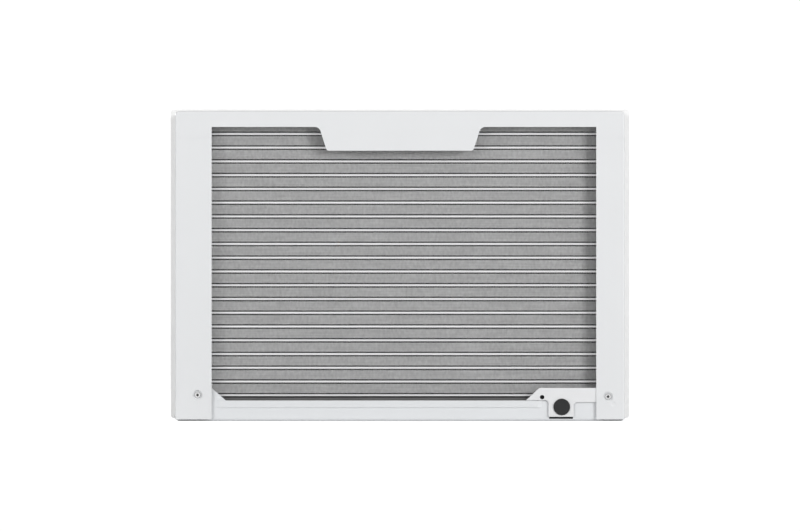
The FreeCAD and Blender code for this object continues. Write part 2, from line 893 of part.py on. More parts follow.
def rear_corner_brackets():
    """Plates behind the pan's rear wall that the side flanges and the drain plate screw to."""
    outer = HALF_PAN - d.pan_corner_bend - d.fit_gap
    foot = d.pan_bottom_bend + 1
    slope_x = OPENING_RIGHT - d.corner_run
    high = d.pan_height + 2 * d.corner_rise
    inner = slope_x - d.corner_inner_reach
    right = [
        (inner, foot),
        (outer, foot),
        (outer, high),
        (OPENING_RIGHT + d.corner_run, high),
        (slope_x, d.pan_height),
        (inner, (foot + d.pan_height) / 2),
    ]
    end, top = PLATE_RIGHT - d.bracket_end_gap, PLATE_TOP - d.bracket_inset
    left = [
        (end, foot),
        (end, PLATE_LEDGE),
        (PLATE_RIGHT - d.plate_bevel - d.bracket_inset, top),
        (-outer, top),
        (-outer, foot),
    ]
    plates = []
    for name, loop in (("right", right), ("left", left)):
        plate = Piece(f"{name}_bracket_sheet")
        plate.pad("front", PAN_BACK - d.gauge, d.gauge, -1, [loop])
        plates.append(plate.body)
    # A boss under each flange screw closes the space to the flange's dished seat
    seat = REAR - d.dimple_depth - d.gauge
    for number, (x, z) in enumerate(FLANGE_SCREWS):
        start = (x, PAN_BACK - 1.5 * d.gauge, z)
        plates.append(rod(f"boss_{number}", start, seat - start[1], d.boss_radius, "y"))
    shank = d.screw_shank_radius
    back = PAN_BACK - 3 * d.gauge
    holes = [
        rod(f"bracket_hole_{i}", (x, back, z), REAR - back, shank, "y")
        for i, (x, z) in enumerate(FLANGE_SCREWS)
    ]
    plate_screw = (PLATE_SCREW_X, back, PLATE_SCREW_HEIGHT)
    holes.append(rod("bracket_hole_plate", plate_screw, 4 * d.gauge, shank, "y"))
    drain = (DRAIN_X, back, DRAIN_HEIGHT)
    holes.append(rod("bracket_drain", drain, 4 * d.gauge, d.plug_shank_radius + 1, "y"))
    pair = joined("bracket_pair", plates)
    keep("rear_corner_brackets", cut("rear_corner_brackets", pair, *holes))


PLATE_SCREW_X = PLATE_RIGHT - d.plate_screw_inset


def drain_plate():
    """Moulded plate over the drain, with a tab that reaches down round the plug."""
    plate = Piece("drain_plate")
    tab_left, tab_right = TAB_X - d.plate_tab_half, TAB_X + d.plate_tab_half
    low_ledge = PLATE_LEDGE - d.plate_ledge_drop
    outline = [
        (PLATE_RIGHT, PLATE_LEDGE),
        (PLATE_RIGHT - d.plate_bevel, PLATE_TOP),
        (PLATE_LEFT, PLATE_TOP),
        (PLATE_LEFT, low_ledge),
        (tab_left, low_ledge),
        (tab_left, d.plate_foot),
        (tab_right, d.plate_foot),
        (tab_right, PLATE_LEDGE),
    ]
    plate.pad("front", PLATE_BACK, PLATE_FACE - PLATE_BACK, 1, [outline])
    roots = [(tab_left, low_ledge), (tab_right, PLATE_LEDGE)]
    plate.round(d.plate_root_radius, at_corners("y", roots))
    feet = [(tab_left, d.plate_foot), (tab_right, d.plate_foot)]
    plate.round(d.plate_foot_radius, at_corners("y", feet))
    plate.round(d.plate_edge_radius, in_plane("y", PLATE_FACE))
    holes = [
        (DRAIN_X, DRAIN_HEIGHT, d.plug_shank_radius + d.fit_gap),
        (PLATE_SCREW_X, PLATE_SCREW_HEIGHT, d.screw_shank_radius * 0.8),
    ]
    plate.pocket("front", PLATE_FACE + 1, d.plate_thickness + 4, -1, circles=holes)
    plate.keep()


PLATE_BACK = PAN_BACK + d.hem_thickness + d.plate_stand_off
PLATE_FACE = PAN_BACK + d.plate_thickness + d.plate_proud


def drain_plug():
    """Rubber plug pushed through the drain plate and the pan's rear wall."""
    plug = Piece("drain_plug")
    seat = PLATE_FACE + d.seat_gap
    rim = seat + d.plug_rim
    end = seat - d.plug_shank_length
    plug.turn(
        [
            (0, end),
            (d.plug_shank_radius - 1, end),
            (d.plug_shank_radius, end + 3),
            (d.plug_shank_radius, seat),
            (d.plug_radius, seat),
            (d.plug_radius, rim - 0.5),
            (d.plug_radius - 0.5, rim),
            (0, rim),
        ],
        DRAIN_X,
        DRAIN_HEIGHT,
    )
    plug.keep()


def screw(name, x, y, z, direction, length):
    """A pan-head screw with a cross recess, its head seated at y and its shank along direction."""
    head = d.screw_head_height
    sign = 1 if direction == "+" else -1
    shaft_start = y if sign > 0 else y - length
    head_start = y - head if sign > 0 else y
    shank = rod(f"{name}_shank", (x, shaft_start, z), length, d.screw_shank_radius - 0.1, "y")
    small = d.screw_head_radius * d.screw_head_taper
    radii = (small, d.screw_head_radius) if sign > 0 else (d.screw_head_radius, small)
    cap = cone(f"{name}_head", (x, head_start, z), head, *radii, "y")
    slot, reach, deep = d.recess_half_width, d.recess_reach, d.recess_depth
    face = y - head if sign > 0 else y + head - deep
    crosses = [
        block(f"{name}_slot_x", (x - reach, face, z - slot), (x + reach, face + deep, z + slot)),
        block(f"{name}_slot_z", (x - slot, face, z - reach), (x + slot, face + deep, z + reach)),
        rod(f"{name}_socket", (x, face, z), deep, d.recess_radius, "y"),
    ]
    return cut(f"{name}_made", joined(f"{name}_solid", [shank, cap]), *crosses)


def cabinet_screws():
    """Two screws hold the side flanges to the base."""
    seat = REAR - d.dimple_depth + d.seat_gap
    screws = [
        screw(f"flange_screw_{i}", x, seat, z, "-", d.screw_length)
        for i, (x, z) in enumerate(FLANGE_SCREWS)
    ]
    keep("cabinet_screws", joined("cabinet_screws", screws))


def drain_plate_screw():
    """A small dark screw in the drain plate's sloping end."""
    x, z = PLATE_SCREW_X, PLATE_SCREW_HEIGHT
    length = PLATE_FACE - PAN_BACK + 2 * d.gauge
    shank = rod(
        "plate_screw_shank",
        (x, PLATE_FACE - length, z),
        length,
        d.screw_shank_radius * 0.8 - 0.1,
        "y",
    )
    head = cone(
        "plate_screw_head", (x, PLATE_FACE + d.seat_gap, z), 0.9, d.screw_shank_radius * 1.1, 1.2, "y"
    )
    neck = rod("plate_screw_neck", (x, PLATE_FACE, z), 0.5, 0.8, "y")
    keep("drain_plate_screw", joined("drain_plate_screw", [shank, head, neck]))


# Condenser


def tube_bottom(number):
    return d.core_bottom + TUBE_PITCH * number


def condenser_tubes():
    """Flat aluminium tubes that run the core's width and end inside the headers."""
    half = HEADER_X - d.header_radius + d.header_wall
    tubes = []
    for number in range(int(float(d.tube_count))):
        low = tube_bottom(number)
        bar = Piece(f"flat_tube_{number}")
        outline = rectangle(CORE_FRONT, low, CORE_BACK, low + d.flat_tube)
        bar.pad("side", -half, 2 * half, 1, [outline])
        bar.round(d.flat_tube * 0.45, lambda e: runs_along(e, "x"))
        tubes.append(bar.body)
    return keep("condenser_tubes", joined("condenser_tubes", tubes))


def condenser_fins():
    """One band of folded fins between each pair of flat tubes."""
    bands = []
    for number in range(int(float(d.tube_count)) - 1):
        low = tube_bottom(number) + d.flat_tube
        high = tube_bottom(number + 1)
        front = (-FIN_HALF, CORE_FRONT + d.fin_inset, low)
        bands.append(block(f"fin_band_{number}", front, (FIN_HALF, CORE_BACK - d.fin_inset, high)))
    keep("condenser_fins", joined("condenser_fins", bands))


def condenser_headers(tubes):
    """Round manifolds at both ends of the core, slotted for the flat tubes."""
    low = d.core_bottom - d.header_reach
    high = CORE_TOP + d.header_reach - d.fit_gap
    made = []
    for number, sign in enumerate((-1, 1)):
        x = sign * HEADER_X
        outside = rod(f"header_{number}", (x, CORE_MIDDLE, low), high - low, d.header_radius)
        bore = rod(
            f"header_bore_{number}",
            (x, CORE_MIDDLE, low + d.header_wall),
            high - low - 2 * d.header_wall,
            d.header_radius - d.header_wall,
        )
        made.append(cut(f"header_shell_{number}", outside, bore))
    keep("condenser_headers", cut("condenser_headers", joined("header_pair", made), tubes))


def condenser_rails():
    """Side plates that close the core at its foot and its head."""
    rails = []
    foot_top = d.core_bottom - d.rail_gap
    low = (-FIN_HALF, CORE_FRONT, foot_top - d.rail_thickness)
    rails.append(block("foot_rail", low, (FIN_HALF, CORE_BACK, foot_top)))
    head = CORE_TOP + d.fit_gap
    top = (FIN_HALF, CORE_BACK, head + d.rail_thickness)
    rails.append(block("head_rail", (-FIN_HALF, CORE_FRONT, head), top))
    keep("condenser_rails", joined("condenser_rails", rails))


def fan_shroud():
    """Box that seals the fan to the core, with a collared hole for the fan."""
    shroud = Piece("fan_shroud")
    half = FIN_HALF + 2
    low = PAN_FLOOR + d.fit_gap
    high = CORE_TOP
    depth = CORE_FRONT - SHROUD_FRONT - d.fit_gap
    shroud.pad("front", SHROUD_FRONT, depth, 1, [rectangle(-half, low, half, high)])
    shroud.round(d.shroud_corner, at_corners("y", [(-half, high), (half, high)]))
    shroud.shell(d.shroud_wall, ("y", SHROUD_FRONT + depth))
    radius = ORIFICE
    collar = radius + d.shroud_wall
    start = SHROUD_FRONT - d.orifice_collar
    shroud.pad(
        "front",
        start,
        d.orifice_collar + d.shroud_wall,
        1,
        circles=[(AXIS_X, AXIS_Z, collar)],
    )
    lip = in_plane("y", SHROUD_FRONT - d.orifice_collar)
    shroud.pocket(
        "front",
        start - 1,
        d.orifice_collar + d.shroud_wall + 2,
        1,
        circles=[(AXIS_X, AXIS_Z, radius)],
    )
    shroud.round(d.shroud_wall * 0.3, lip)
    shroud.keep()


ORIFICE = d.fan_radius + d.slinger_thickness + d.orifice_gap


def condenser_fan():
    """Propeller with a slinger ring that throws condensate onto the core."""
    axis = Vector(float(AXIS_X), 0, float(AXIS_Z))
    front, back = float(FAN_FRONT), float(FAN_BACK)
    hub_radius, tip = float(d.fan_hub_radius), float(d.fan_radius)
    shaft = float(d.shaft_radius + d.shaft_clearance)
    along = Vector(0, 1, 0)

    def drum(radius, start, length):
        return Part.makeCylinder(radius, length, axis + along * start, along)

    width = back - front
    middle = (front + back) / 2
    blade_count = int(float(d.fan_blades))
    thick = float(d.blade_stock)
    stations = [
        (hub_radius - d.blade_root_sink, d.blade_root_half, d.blade_root_rise),
        ((hub_radius + tip) / 2, d.blade_middle_half, d.blade_middle_rise),
        (tip + d.blade_tip_reach, d.blade_tip_half, d.blade_tip_rise),
    ]
    wires = []
    for radius, half, rise in stations:
        radius, half, half_rise = float(radius), float(half), float(rise) * width
        corners = [
            Vector(-half, middle - half_rise, 0),
            Vector(half, middle + half_rise - thick, 0),
            Vector(half, middle + half_rise, 0),
            Vector(-half, middle - half_rise + thick, 0),
        ]
        corners = [axis + Vector(c.x, c.y, radius) for c in corners]
        wires.append(Part.makePolygon([*corners, corners[0]]))
    blade = Part.makeLoft(wires, True, False)
    blade = blade.common(drum(tip + 1, front, width))
    blades = []
    for number in range(blade_count):
        turned = blade.copy()
        turned.rotate(axis, along, number * 360 / blade_count)
        blades.append(turned)
    ring_width = float(d.slinger_width)
    ring_outer = tip + float(d.slinger_thickness)
    ring = drum(ring_outer, back - ring_width, ring_width)
    ring = ring.cut(drum(tip, back - ring_width - 1, ring_width + 2))
    hub = drum(hub_radius, front + 2, width - 4)
    hub = hub.makeFillet(2.5, [e for e in hub.Edges if e.Curve.TypeId == "Part::GeomCircle"])
    whole = hub.multiFuse([*blades, ring])
    whole = whole.cut(drum(shaft, front - 1, width + 2))
    keep("condenser_fan", shaped("condenser_fan", whole))


def blower_wheel():
    """Squirrel-cage wheel of forward-curved blades on a back plate."""
    axis = Vector(float(AXIS_X), 0, float(AXIS_Z))
    along = Vector(0, 1, 0)
    outer, inner = float(d.wheel_radius), float(d.wheel_radius - d.wheel_chord)
    front, back = float(WHEEL_FRONT), float(WHEEL_BACK)
    sheet_thickness = float(d.wheel_sheet)

    def drum(radius, start, length):
        return Part.makeCylinder(radius, length, axis + along * start, along)

    def on_circle(radius, degrees):
        angle = math.radians(degrees)
        return axis + Vector(radius * math.cos(angle), front, radius * math.sin(angle))

    half_gauge = sheet_thickness / 2
    middle = (inner + outer) / 2

    def curve(offset):
        inside = on_circle(inner, math.degrees(offset / inner))
        bulge = on_circle(middle, 5.5 + math.degrees(offset / middle))
        outside = on_circle(outer - 0.6, 2 + math.degrees(offset / outer))
        return inside, bulge, outside

    first, second = curve(-half_gauge), curve(half_gauge)
    section = Part.Wire(
        [
            Part.Arc(*first).toShape(),
            Part.makeLine(first[2], second[2]),
            Part.Arc(*reversed(second)).toShape(),
            Part.makeLine(second[0], first[0]),
        ]
    )
    blade = Part.Face(section).extrude(along * (back - front - sheet_thickness / 2))
    blades = []
    count = int(float(d.wheel_blades))
    for number in range(count):
        turned = blade.copy()
        turned.rotate(axis, along, number * 360 / count)
        blades.append(turned)
    plate = drum(outer, back - sheet_thickness, sheet_thickness)
    ring = drum(outer, front, 4).cut(drum(outer - 6, front - 1, 6))
    hub = drum(14, back - 26, 26)
    whole = plate.multiFuse([ring, hub, *blades])
    shaft = float(d.shaft_radius + d.shaft_clearance)
    whole = whole.cut(drum(shaft, front - 1, back - front + 2))
    keep("blower_wheel", shaped("blower_wheel", whole))


def motor():
    """Double-shaft motor: a drawn steel case, and the shaft that carries both wheels."""
    case = Piece("motor_housing")
    boss = d.motor_boss_radius
    radius = d.motor_radius
    bore = d.shaft_radius + d.shaft_clearance
    case.turn(
        [
            (bore, MOTOR_FRONT - d.motor_nose),
            (boss, MOTOR_FRONT - d.motor_nose),
            (boss, MOTOR_FRONT),
            (radius, MOTOR_FRONT),
            (radius, MOTOR_BACK),
            (boss, MOTOR_BACK),
            (boss, MOTOR_BACK + d.motor_tail),
            (bore, MOTOR_BACK + d.motor_tail),
        ],
        AXIS_X,
        AXIS_Z,
    )
    ends = [in_plane("y", MOTOR_FRONT), in_plane("y", MOTOR_BACK)]
    limit = float(boss) + 1
    case.round(
        4, lambda e: any(end(e) for end in ends) and e.BoundBox.XLength > 2 * limit
    )
    case.keep()
    start = WHEEL_BACK - d.shaft_in_wheel
    length = FAN_BACK + d.shaft_past_fan - start
    shaft = rod("motor_shaft", (AXIS_X, start, AXIS_Z), length, d.shaft_radius, "y")
    keep("motor_shaft", shaft)
    nut_back = doc.addObject("Part::Prism", "fan_nut_blank")
    nut_back.Polygon = 6
    bind(nut_back, "Circumradius", d.shaft_radius * 2)
    bind(nut_back, "Height", 5)
    nut_back.Placement = Placement(Vector(), AIM["y"])
    for axis, value in zip("xyz", (AXIS_X, FAN_BACK - 2, AXIS_Z)):
        bind(nut_back, f"Placement.Base.{axis}", value)
    hole = rod("fan_nut_hole", (AXIS_X, FAN_BACK - 3, AXIS_Z), 8, d.shaft_radius, "y")
    keep("fan_nut", cut("fan_nut", nut_back, hole))


def motor_bracket():
    """Steel stand on the pan, with a plate that the back of the motor bolts to."""
    stand = Piece("motor_bracket")
    plate_front = MOTOR_BACK + d.fit_gap
    low = PAN_FLOOR
    top = AXIS_Z + d.motor_radius
    outline = [
        (AXIS_X - d.stand_half_foot, low),
        (AXIS_X + d.stand_half_foot, low),
        (AXIS_X + d.stand_half_top, top),
        (AXIS_X - d.stand_half_top, top),
    ]
    stand.pad("front", plate_front, 2, 1, [outline])
    half_foot = d.stand_half_foot
    foot = rectangle(
        AXIS_X - half_foot, plate_front, AXIS_X + half_foot, plate_front + d.stand_flange
    )
    stand.pad("top", low, 2, 1, [foot])
    window = [
        (AXIS_X - d.window_half_foot, low + d.window_rise),
        (AXIS_X + d.window_half_foot, low + d.window_rise),
        (AXIS_X + d.window_half_top, AXIS_Z - d.motor_radius - d.window_top_gap),
        (AXIS_X - d.window_half_top, AXIS_Z - d.motor_radius - d.window_top_gap),
    ]
    hole = [(AXIS_X, AXIS_Z, d.motor_boss_radius + 1)]
    stand.pocket("front", plate_front - 1, 4, 1, [window], hole)
    stand.keep()


# Indoor side


def scroll_profile(clearance, top, foot):
    """The volute's outline: three quarter arcs that open out round the wheel, then a straight throat."""
    x, z = float(AXIS_X), float(AXIS_Z)
    step = float(d.scroll_growth)
    radius = float(d.wheel_radius) + float(clearance)
    level = float(foot)
    cut_off = math.radians(52)

    def point(centre, size, angle):
        return Vector(centre[0] + size * math.cos(angle), level, centre[1] + size * math.sin(angle))

    def arc(centre, size, first, last):
        middle = (first + last) / 2
        return Part.Arc(*(point(centre, size, a) for a in (first, middle, last))).toShape()

    right, lower, left = (x, z), (x - step, z), (x - step, z + step)
    quarter = math.pi / 2
    start = point(right, radius, cut_off)
    end = point(left, radius + 2 * step, -math.pi)
    top = float(top)
    edges = [
        arc(right, radius, cut_off, 0),
        arc(lower, radius + step, 0, -quarter),
        arc(left, radius + 2 * step, -quarter, -math.pi),
        Part.makeLine(end, Vector(end.x, level, top)),
        Part.makeLine(Vector(end.x, level, top), Vector(start.x, level, top)),
        Part.makeLine(Vector(start.x, level, top), start),
    ]
    return Part.Wire(edges)


PLENUM_BOTTOM = OUTLET_BOTTOM - d.duct_wall - 2
PLENUM_TOP = OUTLET_TOP + 2
SCROLL_LEFT = AXIS_X - d.wheel_radius - d.scroll_clearance - 3 * d.scroll_growth - d.scroll_wall
SCROLL_RIGHT = AXIS_X + d.wheel_radius + d.scroll_clearance + d.scroll_wall
SCROLL_FOOT = AXIS_Z - d.wheel_radius - d.scroll_clearance - d.scroll_growth - 5


def blower_scroll():
    """Moulded foam housing: the volute round the wheel, and the duct that leads to the outlet."""
    inner = d.plenum_wall
    roof = PLENUM_TOP + inner
    lower = block(
        "scroll_lower",
        (SCROLL_LEFT, SCROLL_FRONT, SCROLL_FOOT),
        (SCROLL_RIGHT, SCROLL_BACK, PLENUM_BOTTOM),
    )
    upper = block(
        "scroll_upper",
        (OUTLET_LEFT - inner, PANEL_BACK + 1, PLENUM_BOTTOM - inner),
        (OUTLET_RIGHT + inner, SCROLL_BACK, roof),
    )
    wall = 3
    throat_top = PLENUM_TOP - 1
    profile = scroll_profile(d.scroll_clearance, throat_top, SCROLL_FRONT - 1)
    depth = float(SCROLL_BACK) - float(SCROLL_FRONT) + 1 - wall
    volute = shaped("scroll_volute", Part.Face(profile).extrude(Vector(0, depth, 0)))
    # Above the wheel's inlet plate the volute is closed by the duct's own front wall
    keeper = block(
        "volute_reach",
        (SCROLL_LEFT, SCROLL_FRONT - 1, SCROLL_FOOT),
        (SCROLL_RIGHT, SCROLL_BACK, PLENUM_BOTTOM - inner),
    )
    lower_void = doc.addObject("Part::Common", "lower_void")
    lower_void.Base, lower_void.Tool = volute, keeper
    throat = block(
        "throat_reach",
        (SCROLL_LEFT, SCROLL_FRONT + wall, PLENUM_BOTTOM - inner - 1),
        (SCROLL_RIGHT, SCROLL_BACK, PLENUM_BOTTOM + 1),
    )
    upper_volute = shaped("upper_volute", Part.Face(profile).extrude(Vector(0, depth, 0)))
    upper_void = doc.addObject("Part::Common", "upper_void")
    upper_void.Base, upper_void.Tool = upper_volute, throat
    duct = block(
        "duct_void",
        (OUTLET_LEFT, PANEL_BACK, PLENUM_BOTTOM),
        (OUTLET_RIGHT, SCROLL_BACK - wall, PLENUM_TOP),
    )
    shaft_hole = rod(
        "scroll_shaft_hole",
        (AXIS_X, SCROLL_BACK - wall - 1, AXIS_Z),
        wall + 2,
        d.shaft_radius * 3,
        "y",
    )
    solid = joined("scroll_solid", [lower, upper])
    keep(
        "blower_scroll",
        cut("blower_scroll", solid, lower_void, upper_void, duct, shaft_hole),
    )


def scroll_orifice():
    """Plate with a rolled inlet ring that closes the front of the scroll."""
    plate = Piece("scroll_orifice")
    thickness = d.orifice_plate
    back = SCROLL_FRONT - 0.1
    outline = rectangle(SCROLL_LEFT, SCROLL_FOOT, SCROLL_RIGHT, PLENUM_BOTTOM - d.plenum_wall - 1)
    inlet = d.wheel_radius - d.wheel_chord + 4
    plate.pad("front", back, thickness, -1, [outline])
    plate.pocket("front", back + 1, thickness + 2, -1, circles=[(AXIS_X, AXIS_Z, inlet)])
    front = in_plane("y", back - thickness)
    plate.round(thickness * 0.7, lambda e: front(e) and e.Curve.TypeId == "Part::GeomCircle")
    plate.keep()


def bulkhead():
    """Steel wall between the indoor and the outdoor halves."""
    wall = Piece("bulkhead")
    half = HALF_PAN - d.gauge - d.fit_gap
    low = PAN_FLOOR + d.fit_gap
    top = INSIDE_TOP - d.fit_gap
    outline = [
        (d.pan_bottom_bend - half, low),
        (half - d.pan_bottom_bend, low),
        (half, low + d.pan_bottom_bend),
        (half, top - d.corner_bend),
        (half - d.corner_bend, top),
        (d.corner_bend - half, top),
        (-half, top - d.corner_bend),
        (-half, low + d.pan_bottom_bend),
    ]
    wall.pad("front", BULKHEAD, d.gauge, 1, [outline])
    edge = half - d.corner_bend
    flange = rectangle(-edge, BULKHEAD, edge, BULKHEAD + 14)
    wall.pad("top", top, d.gauge, -1, [flange])
    holes = [
        (AXIS_X, AXIS_Z, d.motor_boss_radius + 4),
        (SUCTION_X, SUCTION_Z, d.suction_radius + 3),
        (HEADER_X, LIQUID_Z, d.capillary_radius + 3),
    ]
    wall.pocket("front", BULKHEAD - 1, d.gauge + 2, 1, circles=holes)
    wall.keep()


EVAPORATOR_LEFT = OUTLET_LEFT + d.evaporator_left_inset
EVAPORATOR_RIGHT = OUTLET_RIGHT - d.evaporator_right_inset
ROUND_PITCH = (EVAPORATOR_TOP - d.evaporator_bottom - d.row_ends) / (d.evaporator_passes - 0.5)
ROW_BACK = EVAPORATOR_BACK - d.row_inset
ROW_FRONT = EVAPORATOR_FRONT + d.row_inset
SUCTION_X = EVAPORATOR_RIGHT + d.suction_reach
SUCTION_Z = d.evaporator_bottom + d.suction_rise
LIQUID_Z = SUCTION_Z + ROUND_PITCH / 2


def serpentine(y, bottom):
    """One row of the coil: straight passes joined by half-round bends at both ends."""
    pitch = float(ROUND_PITCH)
    left, right = float(EVAPORATOR_LEFT) - 3, float(EVAPORATOR_RIGHT) + 3
    bend = pitch / 2
    edges = []
    start = Vector(right + 6, float(y), float(bottom))
    passes = int(float(d.evaporator_passes))
    for number in range(passes):
        goes_left = number % 2 == 0
        far = left if goes_left else right
        end = Vector(far, start.y, start.z)
        if number == passes - 1:
            end = Vector(right + 6, start.y, start.z)
            edges.append(Part.makeLine(start, end))
            break
        edges.append(Part.makeLine(start, end))
        out = -bend if goes_left else bend
        middle = Vector(far + out, start.y, start.z + bend)
        after = Vector(far, start.y, start.z + pitch)
        edges.append(Part.Arc(end, middle, after).toShape())
        start = after
    path = Part.Wire(edges)
    ring = Part.makeCircle(float(d.round_tube_radius), edges[0].Vertexes[0].Point, Vector(1, 0, 0))
    return path.makePipeShell([Part.Wire(ring)], True, True)


def evaporator():
    """Two rows of round copper tube through a block of thin fins, held by two end plates."""
    rows = [serpentine(ROW_BACK, SUCTION_Z), serpentine(ROW_FRONT, LIQUID_Z)]
    coil = shaped("evaporator_tubes", Part.makeCompound(rows))
    keep("evaporator_tubes", coil)
    fins = block(
        "evaporator_block",
        (EVAPORATOR_LEFT, EVAPORATOR_FRONT, d.evaporator_bottom),
        (EVAPORATOR_RIGHT, EVAPORATOR_BACK, EVAPORATOR_TOP),
    )
    keep("evaporator_fins", cut("evaporator_fins", fins, coil))
    plates = []
    for name, x in (("left", EVAPORATOR_LEFT - 1.2), ("right", EVAPORATOR_RIGHT + 0.2)):
        low = (x, EVAPORATOR_FRONT - 1, d.evaporator_bottom - 2)
        high = (x + 1, EVAPORATOR_BACK + 1, EVAPORATOR_TOP + 2)
        plates.append(block(f"evaporator_plate_{name}", low, high))
    pair = joined("evaporator_plate_pair", plates)
    keep("evaporator_end_plates", cut("evaporator_end_plates", pair, coil))


def drip_tray():
    """Tray under the evaporator that leads condensate to the pan."""
    tray = Piece("drip_tray")
    left, right = EVAPORATOR_LEFT - d.tray_left_reach, EVAPORATOR_RIGHT + d.tray_right_reach
    front, back = EVAPORATOR_FRONT - 2, EVAPORATOR_BACK + 3
    top = d.evaporator_bottom - 3
    bottom = PAN_FLOOR + d.fit_gap
    tray.pad("top", bottom, top - bottom, 1, [rectangle(left, front, right, back)])
    tray.shell(d.tray_wall, ("z", top))
    tray.keep()


# Compressor and pipework


def compressor():
    """Hermetic rotary compressor on three rubber mounts."""
    x, y = COMPRESSOR_X, COMPRESSOR_Y
    foot = COMPRESSOR_FOOT
    low = foot + d.foot_thickness
    radius = float(d.compressor_radius)
    centre = at(x, y, low)
    height = float(d.compressor_height)
    dome = d.dome_share * radius
    body = Part.makeCylinder(radius, height, centre)
    rims = [e for e in body.Edges if e.Curve.TypeId == "Part::GeomCircle"]
    body = body.makeFillet(dome, rims)
    wall = float(d.compressor_wall)
    hollow = Part.makeCylinder(radius - wall, height - 2 * wall, centre + Vector(0, 0, wall))
    seam = Part.makeTorus(radius, 1.4, centre + Vector(0, 0, height * 0.82), Vector(0, 0, 1))
    shell = shaped("compressor_can", body.fuse(seam).cut(hollow))

    disc = rod("foot_disc", (x, y, foot), d.foot_thickness, d.compressor_radius * 0.8)
    parts, grommets, nuts = [shell, disc], [], []
    holes = []
    for number in range(3):
        angle = math.radians(120 * number)
        ear_x = x + d.foot_reach * math.cos(angle)
        ear_y = y + d.foot_reach * math.sin(angle)
        parts.append(
            rod(f"foot_ear_{number}", (ear_x, ear_y, foot), d.foot_thickness, d.grommet_radius)
        )
        arm = doc.addObject("Part::Box", f"foot_arm_{number}")
        bind(arm, "Length", d.foot_reach)
        bind(arm, "Width", 2 * d.grommet_radius)
        bind(arm, "Height", d.foot_thickness)
        turn = Rotation(Vector(0, 0, 1), 120 * number)
        arm.Placement = Placement(Vector(), turn)
        side = d.grommet_radius
        bind(arm, "Placement.Base.x", x + side * math.sin(angle))
        bind(arm, "Placement.Base.y", y - side * math.cos(angle))
        bind(arm, "Placement.Base.z", foot)
        parts.append(arm)
        hole_start = (ear_x, ear_y, d.platform_rise - 1)
        holes.append(rod(f"foot_hole_{number}", hole_start, 40, 3.2))
        base = (ear_x, ear_y, d.platform_rise)
        ring = rod(f"grommet_ring_{number}", base, foot - d.platform_rise, d.grommet_radius)
        bore = rod(f"grommet_bore_{number}", base, foot - d.platform_rise, 3.2)
        grommets.append(cut(f"grommet_{number}", ring, bore))
        stud = rod(f"stud_{number}", base, d.grommet_height + 12, 3)
        nut = doc.addObject("Part::Prism", f"nut_{number}")
        nut.Polygon = 6
        bind(nut, "Circumradius", d.nut_radius)
        bind(nut, "Height", 5)
        nut_base = (ear_x, ear_y, foot + d.foot_thickness + 0.1)
        for axis, value in zip("xyz", nut_base):
            bind(nut, f"Placement.Base.{axis}", value)
        nuts.append(joined(f"stud_and_nut_{number}", [stud, nut]))
    whole = cut("compressor_shell", joined("compressor_solid", parts), *holes)
    keep("compressor_shell", whole)
    keep("compressor_grommets", joined("compressor_grommets", grommets))
    keep("compressor_nuts", joined("compressor_nuts", nuts))

    cap_low = COMPRESSOR_TOP + 0.2
    cap = rod("terminal_cap", (x - 22, y, cap_low), 20, 13)
    keep("terminal_cover", cap)

    jar = Piece("accumulator")
    jar.pad(
        "top",
        ACCUMULATOR_FOOT,
        d.accumulator_height,
        1,
        circles=[(ACCUMULATOR_X, ACCUMULATOR_Y, d.accumulator_radius)],
    )
    jar.round(d.accumulator_radius * 0.55, lambda e: e.Curve.TypeId == "Part::GeomCircle")
    jar.keep()


COMPRESSOR_FOOT = d.platform_rise + d.grommet_height
COMPRESSOR_TOP = COMPRESSOR_FOOT + d.foot_thickness + d.compressor_height
ACCUMULATOR_X = COMPRESSOR_X - d.compressor_radius - d.accumulator_radius - 1
ACCUMULATOR_Y = COMPRESSOR_Y - d.accumulator_setback
ACCUMULATOR_FOOT = COMPRESSOR_FOOT + d.accumulator_rise


